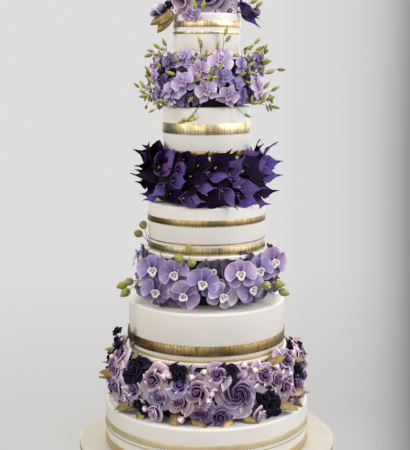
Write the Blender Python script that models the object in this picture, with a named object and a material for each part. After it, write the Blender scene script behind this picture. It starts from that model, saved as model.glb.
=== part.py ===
"""Five-tier wedding cake with its round covered board.

Cream fondant tiers carry gold-leafed ribbons. Between the tiers stand dark separator drums,
each hidden in a garland of sugar flowers, and a small bouquet sits on the top tier. The origin
is the centre of the board's underside, the front is -Y, and lengths are in metres.
"""
import math

import bmesh
import bpy
from mathutils import Matrix, Vector

# ---------------------------------------------------------------- driving dimensions
GAP = 0.0003                    # clearance kept between touching pieces

BOARD_RADIUS = 0.308
BOARD_HEIGHT = 0.0125
BOARD_EDGE_ROUND = 0.003
BOARD_SIDES = 44

TIER_RADIUS = {1: 0.243, 2: 0.185, 3: 0.137, 4: 0.101, 5: 0.0762}
TIER_HEIGHT = {1: 0.1015, 2: 0.1120, 3: 0.1105, 4: 0.1110, 5: 0.0980}
TIER_SIDES = {1: 36, 2: 32, 3: 28, 4: 24, 5: 20}
TIER_EDGE_ROUND = 0.006

GARLAND_HEIGHT = {1: 0.1245, 2: 0.1125, 3: 0.1000, 4: 0.1060}
PLATE_RADIUS = {2: 0.192, 3: 0.147, 4: 0.108, 5: 0.0800}
PLATE_HEIGHT = {2: 0.0085, 3: 0.0085, 4: 0.0080, 5: 0.0050}
SEPARATOR_RADIUS = {1: 0.150, 2: 0.105, 3: 0.072, 4: 0.050}
SEPARATOR_SIDES = 16

RIBBON_DEPTH = 0.0016
# Each ribbon: tier, name, height of its lower edge above the tier's base, and its width.
RIBBONS = (
    (1, "ribbon_1_upper", 0.0500, 0.0135),
    (1, "ribbon_1_line", 0.0395, 0.0022),
    (1, "ribbon_1_base", GAP, 0.0195),
    (2, "ribbon_2_wide", 0.0145, 0.0230),
    (2, "ribbon_2_base", GAP, 0.0065),
    (3, "ribbon_3_upper", 0.0675, 0.0130),
    (3, "ribbon_3_line", 0.0250, 0.0022),
    (3, "ribbon_3_base", 0.0020, 0.0166),
    (4, "ribbon_4_middle", 0.0510, 0.0240),
    (4, "ribbon_4_base", GAP, 0.0125),
    (5, "ribbon_5_upper", 0.0670, 0.0130),
    (5, "ribbon_5_line", 0.0520, 0.0050),
    (5, "ribbon_5_base", GAP, 0.0110),
)

# Garlands: flower heads round the ring, and the radii of the hollows between and of the crests.
ROSE_HEADS = 24
ROSE_HOLLOW_RADIUS = 0.227
ROSE_CREST_RADIUS = 0.246
CALLA_HEADS = 22
CALLA_HOLLOW_RADIUS = 0.140
CALLA_TIP_RADIUS = 0.172
CALLA_TIP_SWEEP = math.radians(5.0)
SPRAY_HEADS = 18
SPRAY_HOLLOW_RADIUS = 0.118
SPRAY_CREST_RADIUS = 0.138

GARDEN_ROSE_ANGLE = math.radians(18.0)
GARDEN_ROSE_RISE = 0.0715       # its centre above the first tier's top
GARDEN_ROSE_RADIUS = 0.047
GARDEN_ROSE_SEAT = 0.200        # radius of its back, out from the cake's axis
GARDEN_ROSE_DEPTH = 0.050
GARDEN_ROSE_NEST = 0.064        # the garland lies low within this distance of the rose

ORCHID_PETAL = 0.033
ORCHID_SEPAL = 0.030
ORCHID_LIP = 0.010
ORCHID_THROAT = 0.0065
ORCHID_VALLEY = 0.0155
ORCHID_STEM_RADIUS = 0.0022
ORCHID_LAYERS = (0.166, 0.1745, 0.183)
# Moth orchids on the front: angle from the front in degrees, height above the second tier's
# top, and which layer the flower lies in. The rest follow a zigzag round the back.
FRONT_ORCHIDS = (
    (-41.0, 0.0900, 2),
    (-41.0, 0.0400, 1),
    (-25.5, 0.0830, 0),
    (-15.6, 0.0410, 2),
    (-2.8, 0.0680, 1),
    (12.0, 0.0370, 0),
    (24.7, 0.0850, 2),
    (34.7, 0.0480, 1),
    (46.0, 0.0840, 0),
    (63.0, 0.0960, 2),
)
BACK_ORCHIDS = 11
BACK_ORCHID_HEIGHTS = (0.0450, 0.0860)

TOPPER_ROSE_RADIUS = 0.055
TOPPER_ROSE_DEPTH = 0.076
TOPPER_BACK_ROSE_RADIUS = 0.043
TOPPER_BACK_ROSE_DEPTH = 0.062
TOPPER_SIDE_ROSE_RADIUS = 0.025
TOPPER_SIDE_ROSE_DEPTH = 0.036
TOPPER_ORCHID_SIZE = 0.65       # as a share of a moth orchid


# ---------------------------------------------------------------- colours and materials
def linear(hex_colour):
    """An sRGB hex colour as linear RGBA."""
    values = [int(hex_colour[i:i + 2], 16) / 255 for i in (0, 2, 4)]
    channels = [v / 12.92 if v <= 0.04045 else ((v + 0.055) / 1.055) ** 2.4 for v in values]
    return (*channels, 1.0)


def material(name, hex_colour, roughness, metallic=0.0):
    made = bpy.data.materials.new(name)
    made.use_nodes = True
    shader = made.node_tree.nodes["Principled BSDF"]
    shader.inputs["Base Color"].default_value = linear(hex_colour)
    shader.inputs["Roughness"].default_value = roughness
    shader.inputs["Metallic"].default_value = metallic
    return made


# ---------------------------------------------------------------- making objects
def add_object(name, mesh_maker, finish, place=None):
    """Put what mesh_maker built in a bmesh into the scene as one closed, outward-facing object."""
    place = place or Matrix.Identity(4)
    bmesh.ops.recalc_face_normals(mesh_maker, faces=mesh_maker.faces[:])
    mesh = bpy.data.meshes.new(name)
    mesh_maker.to_mesh(mesh)
    mesh_maker.free()
    mesh.materials.append(finish)
    mesh.shade_smooth()
    mesh.set_sharp_from_angle(angle=math.radians(35))
    made = bpy.data.objects.new(name, mesh)
    made.matrix_world = place
    bpy.context.scene.collection.objects.link(made)
    return made


def disc(name, radius, base, height, sides, finish, edge_round=0.0):
    """A round drum, its upper rim rounded by edge_round."""
    bm = bmesh.new()
    ring = bmesh.ops.create_circle(bm, cap_ends=True, segments=sides, radius=radius)
    bmesh.ops.translate(bm, verts=ring["verts"], vec=(0, 0, base))
    raised = bmesh.ops.extrude_face_region(bm, geom=bm.faces[:])
    top = [part for part in raised["geom"] if isinstance(part, bmesh.types.BMVert)]
    bmesh.ops.translate(bm, verts=top, vec=(0, 0, height))
    if edge_round:
        rim = [e for e in bm.edges if all(v.co.z > base + height / 2 for v in e.verts)]
        bmesh.ops.bevel(bm, geom=rim, offset=edge_round, segments=1, affect="EDGES", profile=0.5)
    return add_object(name, bm, finish)


def hoop(name, inner, depth, base, width, sides, finish):
    """A flat ribbon standing round a tier."""
    bm = bmesh.new()
    bmesh.ops.create_circle(bm, segments=sides, radius=inner)
    bmesh.ops.create_circle(bm, segments=sides, radius=inner + depth)
    bmesh.ops.bridge_loops(bm, edges=bm.edges[:])
    bmesh.ops.translate(bm, verts=bm.verts[:], vec=(0, 0, base))
    raised = bmesh.ops.extrude_face_region(bm, geom=bm.faces[:])
    top = [part for part in raised["geom"] if isinstance(part, bmesh.types.BMVert)]
    bmesh.ops.translate(bm, verts=top, vec=(0, 0, width))
    return add_object(name, bm, finish)


def loft(bm, rings, closed=False, crests=None):
    """Join rings of equally many points, and cap both ends or join them in a loop.

    Where crests(column, row) is true, the square above and beside that point is split so that
    the point stands up as a head of its own.
    """
    loops = [[bm.verts.new(point) for point in ring] for ring in rings]
    pairs = list(zip(loops, loops[1:]))
    if closed:
        pairs.append((loops[-1], loops[0]))
    else:
        bm.faces.new(loops[0])
        bm.faces.new(loops[-1])
    for row, (low, high) in enumerate(pairs):
        for i in range(len(low)):
            j = (i + 1) % len(low)
            a, b, c, d = low[i], low[j], high[j], high[i]
            if crests is None:
                bm.faces.new((a, b, c, d))
            elif crests(i, row):
                bm.faces.new((a, b, d))
                bm.faces.new((b, c, d))
            else:
                bm.faces.new((a, b, c))
                bm.faces.new((a, c, d))


def crest(column, row):
    """Flower heads stand on every second point of a garland, staggered from row to row."""
    return (column + row) % 2 == 0


def around(radius, angle, height):
    """A point at a radius and height, at an angle from the front (-Y) towards +X."""
    return Vector((radius * math.sin(angle), -radius * math.cos(angle), height))


def garland(name, inner, base, height, heads, outline, finish):
    """A ring of flower heads out to its uneven outline.

    outline(column, row, angle, rise) gives each outer point's radius, angle and height.
    """
    bm = bmesh.new()
    columns = 2 * heads
    rows = 5
    rings = []
    for row in range(rows):
        rise = height * row / (rows - 1)
        ring = []
        for column in range(columns):
            angle = 2 * math.pi * column / columns
            radius, turned, lift = outline(column, row, angle, rise)
            ring.append(around(radius, turned, base + lift))
        rings.append(ring)
    for rise in (height, 0.0):
        rings.append([around(inner, 2 * math.pi * c / columns, base + rise) for c in range(columns)])
    loft(bm, rings, closed=True, crests=crest)
    return add_object(name, bm, finish)


def spindle(name, path, radii, sides, finish, flatten=1.0):
    """A stalk that swells into a bud or a leaf: round sections of given radii along a path."""
    bm = bmesh.new()
    rings = []
    for i, (point, radius) in enumerate(zip(path, radii)):
        before = Vector(path[max(i - 1, 0)])
        after = Vector(path[min(i + 1, len(path) - 1)])
        along = (after - before).normalized()
        across = along.cross(Vector((0, 0, 1))).normalized()
        upward = across.cross(along)
        ring = []
        for k in range(sides):
            turn = 2 * math.pi * k / sides
            offset = across * math.cos(turn) + upward * math.sin(turn) * flatten
            ring.append(Vector(point) + offset * radius)
        rings.append(ring)
    loft(bm, rings)
    return add_object(name, bm, finish)


def facing(origin, outward, up=Vector((0, 0, 1))):
    """The placing whose local +Z looks outward and whose local +Y is as near up as it can be."""
    z_axis = Vector(outward).normalized()
    x_axis = up.cross(z_axis).normalized()
    y_axis = z_axis.cross(x_axis)
    turn = Matrix((x_axis, y_axis, z_axis)).transposed().to_4x4()
    return Matrix.Translation(origin) @ turn


def orchid(name, place, stem, size, finish):
    """An open five-petalled orchid facing local +Z, with its lip and a stem running back."""
    bm = bmesh.new()
    # angle, length and half-angle of the dorsal sepal, the petals and the lower sepals
    lobes = (
        (90, ORCHID_SEPAL, 24),
        (168, ORCHID_PETAL, 34),
        (236, ORCHID_SEPAL, 23),
        (304, ORCHID_SEPAL, 23),
        (372, ORCHID_PETAL, 34),
    )

    def point(degrees, radius, depth):
        turn = math.radians(degrees)
        return bm.verts.new((radius * size * math.cos(turn), radius * size * math.sin(turn), depth * size))

    valleys = []
    for k, (here, _, _) in enumerate(lobes):
        after = lobes[(k + 1) % 5][0] + (360 if k == 4 else 0)
        valleys.append((here + after) / 2)
    rim = [point(turn, ORCHID_VALLEY, 0.0) for turn in valleys]
    throat = [point(turn, ORCHID_THROAT, 0.0025) for turn in valleys]
    root = [point(turn, ORCHID_THROAT, -0.0020) for turn in valleys]
    for k, (turn, length, spread) in enumerate(lobes):
        edge = [
            rim[k - 1],
            point(turn - spread, length * 0.76, 0.0),
            point(turn - spread * 0.4, length, 0.0012),
            point(turn + spread * 0.4, length, 0.0012),
            point(turn + spread, length * 0.76, 0.0),
            rim[k],
        ]
        front = edge + [throat[k], throat[k - 1]]
        back = edge + [root[k], root[k - 1]]
        for loop, depth in ((front, 0.0024), (back, -0.0010)):
            middle = point(turn, length * 0.55, depth)
            for a, b in zip(loop, loop[1:] + loop[:1]):
                bm.faces.new((middle, a, b))
    tip = point(270, 0.003, ORCHID_LIP)
    for k in range(5):
        bm.faces.new((throat[k - 1], throat[k], tip))
    ends = []
    for turn in valleys:
        angle = math.radians(turn)
        ends.append(bm.verts.new((
            ORCHID_STEM_RADIUS * math.cos(angle),
            ORCHID_STEM_RADIUS * math.sin(angle),
            -stem,
        )))
    for k in range(5):
        bm.faces.new((root[k - 1], root[k], ends[k], ends[k - 1]))
    bm.faces.new(ends)
    return add_object(name, bm, finish, place)


def rose(name, place, radius, depth, petals, finish):
    """A full rose facing local +Z: whorls of petals that turn as they close to the heart."""
    bm = bmesh.new()
    # share of the radius, share of the depth, and how deeply the petals scallop the whorl
    whorls = (
        (0.30, 0.00, 0.00),
        (0.72, 0.24, 0.02),
        (1.00, 0.52, 0.07),
        (0.86, 0.78, 0.06),
        (0.62, 0.68, 0.07),
        (0.52, 0.92, 0.06),
        (0.28, 0.80, 0.05),
        (0.14, 1.00, 0.00),
    )
    points = 2 * petals
    rings = []
    for k, (reach, rise, scallop) in enumerate(whorls):
        ring = []
        for i in range(points):
            turn = 2 * math.pi * (i + 0.55 * k) / points
            out = radius * reach * (1 - scallop * (i % 2))
            ring.append((out * math.cos(turn), out * math.sin(turn), depth * rise))
        rings.append(ring)
    loft(bm, rings)
    return add_object(name, bm, finish, place)


# ---------------------------------------------------------------- the cake, from the board up
def stack_heights():
    """Heights of each tier's base and top and of each plate's underside."""
    tier_base = {1: BOARD_HEIGHT}
    tier_top = {}
    plate_base = {}
    for n in range(1, 6):
        tier_top[n] = tier_base[n] + TIER_HEIGHT[n]
        if n < 5:
            plate_base[n + 1] = tier_top[n] + GARLAND_HEIGHT[n]
            tier_base[n + 1] = plate_base[n + 1] + PLATE_HEIGHT[n + 1]
    return tier_base, tier_top, plate_base


def build_board(fondant, gold):
    """The covered board and the fine gold ribbon round its edge."""
    ribbon_depth = 0.0010
    disc("base_board", BOARD_RADIUS - ribbon_depth - GAP, 0.0, BOARD_HEIGHT, BOARD_SIDES,
         fondant, BOARD_EDGE_ROUND)
    hoop("board_ribbon", BOARD_RADIUS - ribbon_depth, ribbon_depth, 0.0, BOARD_HEIGHT - BOARD_EDGE_ROUND,
         BOARD_SIDES, gold)


def build_tiers(fondant, dark, tier_base, tier_top, plate_base):
    """The five tiers, the plates under the upper four and the drums that hold them up."""
    for n in range(1, 6):
        disc(f"tier_{n}", TIER_RADIUS[n], tier_base[n] + GAP, TIER_HEIGHT[n] - GAP, TIER_SIDES[n],
             fondant, TIER_EDGE_ROUND)
    for n in range(2, 6):
        disc(f"plate_{n}", PLATE_RADIUS[n], plate_base[n], PLATE_HEIGHT[n], TIER_SIDES[n], fondant)
    for n in range(1, 5):
        drum_height = GARLAND_HEIGHT[n] - 2 * GAP
        disc(f"separator_{n}", SEPARATOR_RADIUS[n], tier_top[n] + GAP, drum_height, SEPARATOR_SIDES, dark)


def build_ribbons(gold, tier_base):
    for tier, name, rise, width in RIBBONS:
        hoop(name, TIER_RADIUS[tier] + GAP, RIBBON_DEPTH, tier_base[tier] + rise, width,
             TIER_SIDES[tier], gold)


def build_garlands(lilac, violet, mauve, tier_top):
    """The rose, calla and small-orchid garlands, each one body out to its outline."""
    clearance = 0.001

    def rose_outline(column, row, angle, rise):
        radius = ROSE_CREST_RADIUS if crest(column, row) else ROSE_HOLLOW_RADIUS
        if row in (0, 4):
            radius -= 0.012
        across = ROSE_CREST_RADIUS * (angle - GARDEN_ROSE_ANGLE)
        if math.hypot(across, rise - GARDEN_ROSE_RISE) < GARDEN_ROSE_NEST:
            radius = GARDEN_ROSE_SEAT - 0.004
        return radius, angle, rise

    def calla_outline(column, row, angle, rise):
        if not crest(column, row):
            return CALLA_HOLLOW_RADIUS, angle, rise
        radius = CALLA_TIP_RADIUS if row in (1, 2, 3) else CALLA_HOLLOW_RADIUS + 0.012
        return radius, angle + CALLA_TIP_SWEEP, rise

    def spray_outline(column, row, angle, rise):
        radius = SPRAY_CREST_RADIUS if crest(column, row) else SPRAY_HOLLOW_RADIUS
        if row == 0:
            radius -= 0.016
        return radius, angle, rise

    garlands = (
        ("rose_garland", 1, ROSE_HEADS, rose_outline, lilac),
        ("calla_garland", 3, CALLA_HEADS, calla_outline, violet),
        ("orchid_spray_garland", 4, SPRAY_HEADS, spray_outline, mauve),
    )
    for name, n, heads, outline, finish in garlands:
        garland(name, SEPARATOR_RADIUS[n] + clearance, tier_top[n] + GAP,
                GARLAND_HEIGHT[n] - 2 * GAP, heads, outline, finish)


def build_garden_rose(lilac, tier_top):
    """The one large open rose set into the front of the rose garland."""
    centre_height = tier_top[1] + GARDEN_ROSE_RISE
    outward = around(1.0, GARDEN_ROSE_ANGLE, 0.0)
    place = facing(around(GARDEN_ROSE_SEAT, GARDEN_ROSE_ANGLE, centre_height), outward)
    rose("garden_rose", place, GARDEN_ROSE_RADIUS, GARDEN_ROSE_DEPTH, 7, lilac)


def build_moth_orchids(mauve, tier_top):
    """Large orchids wired into the second separator, overlapping in three layers."""
    spots = [(math.radians(angle), rise, layer) for angle, rise, layer in FRONT_ORCHIDS]
    first = math.radians(FRONT_ORCHIDS[-1][0])
    gap_angle = 2 * math.pi - first + math.radians(FRONT_ORCHIDS[0][0])
    for k in range(BACK_ORCHIDS):
        angle = first + gap_angle * (k + 1) / (BACK_ORCHIDS + 1)
        spots.append((angle, BACK_ORCHID_HEIGHTS[k % 2], k % 2))
    for i, (angle, rise, layer) in enumerate(spots):
        radius = ORCHID_LAYERS[layer]
        place = facing(around(radius, angle, tier_top[2] + rise), around(1.0, angle, 0.0))
        stem = radius - SEPARATOR_RADIUS[2] - 0.001
        orchid(f"moth_orchid_{i + 1:02d}", place, stem, 1.0, mauve)


def build_topper(lilac, mauve, violet, brass, tier_top):
    """The bouquet on the top tier: two big roses back to back, with smaller flowers round them."""
    top = tier_top[5]
    # name, seat above the top tier, direction faced, radius, depth and number of petals
    roses = (
        ("topper_rose", (0.010, 0.004, 0.0125), (0.05, -0.62, 0.78),
         TOPPER_ROSE_RADIUS, TOPPER_ROSE_DEPTH, 7),
        ("topper_back_rose", (-0.006, 0.046, 0.0110), (-0.10, 0.65, 0.75),
         TOPPER_BACK_ROSE_RADIUS, TOPPER_BACK_ROSE_DEPTH, 6),
        ("topper_side_rose", (-0.060, -0.034, 0.0080), (-0.70, -0.55, 0.45),
         TOPPER_SIDE_ROSE_RADIUS, TOPPER_SIDE_ROSE_DEPTH, 5),
    )
    for name, seat, look, radius, depth, petals in roses:
        place = facing(Vector(seat) + Vector((0, 0, top)), look)
        rose(name, place, radius, depth, petals, lilac)

    hanging = facing(Vector((-0.034, -0.088, top - 0.009)), Vector((-0.10, -0.88, -0.40)))
    orchid("topper_orchid", hanging, 0.026, TOPPER_ORCHID_SIZE, mauve)

    spindle("topper_rosebud",
            [(-0.064, 0.012, top + 0.004), (-0.084, 0.008, top + 0.010), (-0.098, 0.004, top + 0.013),
             (-0.110, 0.001, top + 0.014), (-0.122, -0.001, top + 0.012), (-0.130, -0.002, top + 0.009)],
            [0.002, 0.003, 0.010, 0.0125, 0.008, 0.002], 7, lilac)
    spindle("topper_leaf",
            [(-0.076, -0.012, top + 0.001), (-0.090, -0.015, top - 0.006), (-0.102, -0.017, top - 0.018),
             (-0.110, -0.018, top - 0.032), (-0.115, -0.018, top - 0.046)],
            [0.002, 0.010, 0.016, 0.010, 0.001], 6, brass, flatten=0.16)
    spindle("topper_dark_flower",
            [(0.062, -0.026, top + 0.005), (0.078, -0.027, top + 0.016), (0.092, -0.028, top + 0.010),
             (0.105, -0.028, top - 0.004), (0.114, -0.028, top - 0.018), (0.119, -0.028, top - 0.030)],
            [0.002, 0.010, 0.017, 0.014, 0.008, 0.001], 7, violet)


def main():
    for old in list(bpy.data.objects):
        bpy.data.objects.remove(old)

    fondant = material("cream_fondant", "E6E0D6", 0.55)
    gold = material("gold_leaf", "B79C5E", 0.32, metallic=1.0)
    dark = material("separator_dark", "241A33", 0.65)
    lilac = material("rose_lilac", "B79ECB", 0.55)
    mauve = material("orchid_mauve", "AC97D0", 0.55)
    violet = material("calla_violet", "4A3580", 0.50)
    brass = material("leaf_brass", "94804A", 0.45)

    tier_base, tier_top, plate_base = stack_heights()
    build_board(fondant, gold)
    build_tiers(fondant, dark, tier_base, tier_top, plate_base)
    build_ribbons(gold, tier_base)
    build_garlands(lilac, violet, mauve, tier_top)
    build_garden_rose(lilac, tier_top)
    build_moth_orchids(mauve, tier_top)
    build_topper(lilac, mauve, violet, brass, tier_top)


main()
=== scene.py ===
"""Dresses a packed five-tier wedding cake: fondant, gold-leafed ribbon and sugar flowers."""

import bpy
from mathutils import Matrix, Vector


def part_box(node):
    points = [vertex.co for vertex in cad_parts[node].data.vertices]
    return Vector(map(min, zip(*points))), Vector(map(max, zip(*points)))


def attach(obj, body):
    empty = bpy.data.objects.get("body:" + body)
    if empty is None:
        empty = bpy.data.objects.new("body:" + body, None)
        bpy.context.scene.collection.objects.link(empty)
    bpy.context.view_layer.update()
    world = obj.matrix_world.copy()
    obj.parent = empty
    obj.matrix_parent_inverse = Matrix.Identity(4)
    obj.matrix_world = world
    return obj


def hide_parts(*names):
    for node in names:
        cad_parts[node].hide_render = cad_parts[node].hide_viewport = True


bl_info = {
    "name": "Tiered Wedding Cake",
    "version": (1, 0, 0),
    "blender": (4, 5, 0),
    "location": "View3D > Sidebar > Cake",
    "description": "Finishes a tiered wedding cake with fondant, gold ribbon and sugar flowers",
    "category": "Add Mesh",
}

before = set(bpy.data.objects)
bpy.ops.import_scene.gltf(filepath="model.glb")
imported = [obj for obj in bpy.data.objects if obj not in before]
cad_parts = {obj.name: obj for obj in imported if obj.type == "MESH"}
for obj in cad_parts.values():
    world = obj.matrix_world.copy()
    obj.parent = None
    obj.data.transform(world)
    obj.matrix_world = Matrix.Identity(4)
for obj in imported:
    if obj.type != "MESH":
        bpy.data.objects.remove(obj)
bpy.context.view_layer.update()        # {"bodies", "nodes", "joints", "record"}

import math
import random

import bpy
import numpy as np
from bpy.props import FloatProperty, FloatVectorProperty, IntProperty, PointerProperty
from mathutils import Matrix, Vector

MM = 0.001
TAU = 2 * math.pi
AS_IT_STANDS = Matrix.Identity(4)
UNTINTED = (1.0, 1.0, 1.0)


# ================================================================ colours, places and joining
def linear(hex_colour):
    """An sRGB hex colour as linear RGB."""
    values = [int(hex_colour[i:i + 2], 16) / 255 for i in (0, 2, 4)]
    return tuple(v / 12.92 if v <= 0.04045 else ((v + 0.055) / 1.055) ** 2.4 for v in values)


def rgba(colour):
    """A colour with full opacity."""
    return (*colour[:3], 1.0)


def smooth(low, high, x):
    """0 below low, 1 above high, and a smooth step between."""
    t = np.clip((x - low) / (high - low), 0.0, 1.0)
    return t * t * (3 - 2 * t)


def around(radius, degrees, height):
    """A point at a radius and height, at an angle from the front (-Y) towards +X."""
    angle = math.radians(degrees)
    return Vector((radius * math.sin(angle), -radius * math.cos(angle), height))


def place_at(origin, look, spin=0.0, size=1.0):
    """The placing that turns a flower's +Z towards look, spun about it by spin degrees."""
    turn = Vector(look).normalized().to_track_quat("Z", "Y").to_matrix().to_4x4()
    spun = turn @ Matrix.Rotation(math.radians(spin), 4, "Z")
    return Matrix.Translation(Vector(origin)) @ spun @ Matrix.Scale(size, 4)


def place_along(origin, along, face, size=1.0):
    """The placing that lays a blade's +Y along a direction, with its +Z side turned to face."""
    forward = Vector(along).normalized()
    side = forward.cross(Vector(face)).normalized()
    turn = Matrix((side, forward, side.cross(forward))).transposed().to_4x4()
    return Matrix.Translation(Vector(origin)) @ turn @ Matrix.Scale(size, 4)


def mixed_way(degrees, out, round_way, up):
    """A direction made of so much outward, so much round the cake and so much up."""
    return out * around(1, degrees, 0) + round_way * around(1, degrees + 90, 0) + Vector((0, 0, up))


def outward(degrees, rise):
    """A direction straight out from the cake at an angle, raised by rise degrees."""
    lift = math.radians(rise)
    return around(math.cos(lift), degrees, math.sin(lift))


def take(piece):
    """Select one object alone and make it the active one."""
    bpy.ops.object.select_all(action="DESELECT")
    piece.select_set(True)
    bpy.context.view_layer.objects.active = piece


def apply_modifiers(piece):
    """Make every modifier of a piece permanent, in order."""
    take(piece)
    for modifier in list(piece.modifiers):
        bpy.ops.object.modifier_apply(modifier=modifier.name)


def tint(mesh, colour):
    """Multiply the mesh's tint attribute by a colour, adding it where it is missing."""
    attribute = mesh.color_attributes.get("tint")
    count = len(mesh.vertices)
    values = np.ones(count * 4, np.float32)
    if attribute is None:
        attribute = mesh.color_attributes.new("tint", "FLOAT_COLOR", "POINT")
    else:
        attribute.data.foreach_get("color", values)
    values = values.reshape(-1, 4) * np.array((*colour[:3], 1.0), np.float32)
    attribute.data.foreach_set("color", values.ravel())


def deep(shade):
    """The tint of a petal that lies deep in a flower: darker, and more purple than the outer ones, partly its
    own deeper colour and partly painted shade.
    """
    return (shade ** 1.15, shade ** 1.50, shade ** 0.90)


def gather(name, parts):
    """Join copies of templates into one object. Each part is a template, a placing and a colour."""
    copies = []
    for template, place, colour in parts:
        mesh = template.data.copy()
        mesh.transform(place)
        tint(mesh, colour)
        copy = bpy.data.objects.new(name, mesh)
        bpy.context.scene.collection.objects.link(copy)
        copies.append(copy)
    take(copies[0])
    for copy in copies[1:]:
        copy.select_set(True)
    if len(copies) > 1:
        bpy.ops.object.join()
    piece = bpy.context.view_layer.objects.active
    piece.name = name
    piece.data.name = name
    return piece


def discard(templates):
    """Throw away the templates whose copies are in place."""
    for template in templates:
        bpy.data.objects.remove(template)


def finish(piece, slot, *replaced):
    """Let a finished piece ride on the cake, and hide the nodes it stands for. Its slot is not used."""
    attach(piece, "root")
    if replaced:
        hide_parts(*replaced)
    return piece


# ================================================================ materials
# The settings of a node that mixes, multiplies or adds two colours, whose result is output 2
MIXED = {"data_type": "RGBA", "blend_type": "MIX"}
MULTIPLIED = {"data_type": "RGBA", "blend_type": "MULTIPLY"}
ADDED = {"data_type": "RGBA", "blend_type": "ADD"}


def add_node(tree, kind, inputs=None, stops=(), **settings):
    """Add a node with its settings, its inputs as values or as links from other sockets, and a
    ramp's stops as (position, brightness)."""
    made = tree.nodes.new(kind)
    for key, value in settings.items():
        setattr(made, key, value)
    for key, value in (inputs or {}).items():
        if isinstance(value, bpy.types.NodeSocket):
            tree.links.new(value, made.inputs[key])
        else:
            made.inputs[key].default_value = value
    if stops:
        points = made.color_ramp.elements
        while len(points) < len(stops):
            points.new(0.5)
        for point, (position, brightness) in zip(points, stops):
            point.position = position
            point.color = (brightness, brightness, brightness, 1.0)
    return made


def new_material(name, roughness, metallic=0.0, **extra):
    """A material of one Principled shader, with its uniform values set on the shader."""
    made = bpy.data.materials.new(name)
    made.use_nodes = True
    shader = made.node_tree.nodes["Principled BSDF"]
    shader.inputs["Roughness"].default_value = roughness
    shader.inputs["Metallic"].default_value = metallic
    for key, value in extra.items():
        shader.inputs[key.replace("_", " ")].default_value = value
    return made, made.node_tree, shader


def cloudy(tree, spacing, detail, stretch=(1.0, 1.0, 1.0)):
    """A cloudy pattern fixed to the piece, with blotches spacing metres apart."""
    coords = add_node(tree, "ShaderNodeTexCoord")
    mapped = add_node(tree, "ShaderNodeMapping", {"Vector": coords.outputs["Object"], "Scale": stretch})
    noise = add_node(tree, "ShaderNodeTexNoise",
                     {"Vector": mapped.outputs["Vector"], "Scale": 1.0 / spacing, "Detail": detail})
    return noise.outputs["Fac"]


def surface(tree, shader, colour, height, distance, strength):
    """Give a shader its colour, and a pattern's height as a relief of up to a distance."""
    tree.links.new(colour, shader.inputs["Base Color"])
    relief = add_node(tree, "ShaderNodeBump",
                      {"Height": height, "Distance": distance, "Strength": strength})
    tree.links.new(relief.outputs["Normal"], shader.inputs["Normal"])


def rolled_fondant(name, colour):
    """Rolled sugar paste: satin and slightly translucent, with a faint cloudy darkening over a hand's width,
    painted shade for the swell of a rolling pin, and its fine sugar grain drawn 1.2 mm apart, coarse enough
    to show."""
    made, tree, shader = new_material(name, 0.46, Subsurface_Weight=0.10, Subsurface_Scale=0.004)
    shader.inputs["Subsurface Radius"].default_value = (1.0, 0.75, 0.55)
    swell = cloudy(tree, 90 * MM, 1.5)
    high = add_node(tree, "ShaderNodeValToRGB", {"Fac": swell}, ((0.35, 0.0), (0.65, 1.0)))
    # the darker colour of the cloud: painted shade for the rolling pin's swell
    shade = tuple(c * 0.955 for c in colour[:3])
    body = add_node(tree, "ShaderNodeMix", {0: high.outputs["Color"], 6: rgba(shade), 7: rgba(colour)},
                    **MIXED)
    grain = cloudy(tree, 1.2 * MM, 3.0)
    surface(tree, shader, body.outputs[2], grain, 0.05 * MM, 0.5)
    return made


def gold_leaf(name, colour):
    """Edible gold leaf laid on a fondant ribbon: a soft metal whose upright creases, some 4 mm
    apart, break the reflections into streaks, with painted shade darkening the colour along the creases and
    thin, darker spots where the leaf is worn."""
    made, tree, shader = new_material(name, 0.30, 1.0)
    crease = cloudy(tree, 3.6 * MM, 3.0, (1.0, 1.0, 0.06))
    blotch = cloudy(tree, 14 * MM, 4.0)
    worn = tuple(c * 0.62 for c in colour[:3])
    whole = add_node(tree, "ShaderNodeValToRGB", {"Fac": blotch}, ((0.30, 0.0), (0.62, 1.0)))
    tone = add_node(tree, "ShaderNodeMix", {0: whole.outputs["Color"], 6: rgba(worn), 7: rgba(colour)},
                    **MIXED)
    # the colour darkened along the crease valleys: painted shade
    dull = add_node(tree, "ShaderNodeMix", {0: 1.0, 6: tone.outputs[2], 7: (0.62, 0.56, 0.46, 1.0)},
                    **MULTIPLIED)
    ridge = add_node(tree, "ShaderNodeValToRGB", {"Fac": crease}, ((0.34, 0.0), (0.50, 1.0)))
    crease_shaded = add_node(tree, "ShaderNodeMix",
                        {0: ridge.outputs["Color"], 6: dull.outputs[2], 7: tone.outputs[2]}, **MIXED)
    shine = add_node(tree, "ShaderNodeMapRange",
                     {"Value": blotch, "From Min": 0.3, "From Max": 0.7, "To Min": 0.40, "To Max": 0.24})
    tree.links.new(shine.outputs["Result"], shader.inputs["Roughness"])
    surface(tree, shader, crease_shaded.outputs[2], crease, 0.9 * MM, 0.9)
    return made


def gold_lustre(name, colour):
    """Gold lustre dust painted on a band of fondant: half metal, satin and even, with brush marks
    round the tier some 6 mm apart and a soft cloudiness over 30 mm."""
    made, tree, shader = new_material(name, 0.42, 0.45)
    cloud = cloudy(tree, 30 * MM, 2.0)
    thin = tuple(c * 0.84 for c in colour[:3])
    thick = add_node(tree, "ShaderNodeValToRGB", {"Fac": cloud}, ((0.35, 0.0), (0.65, 1.0)))
    tone = add_node(tree, "ShaderNodeMix", {0: thick.outputs["Color"], 6: rgba(thin), 7: rgba(colour)},
                    **MIXED)
    brush = cloudy(tree, 6 * MM, 2.0, (0.3, 0.3, 1.0))
    surface(tree, shader, tone.outputs[2], brush, 0.15 * MM, 0.4)
    return made


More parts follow.
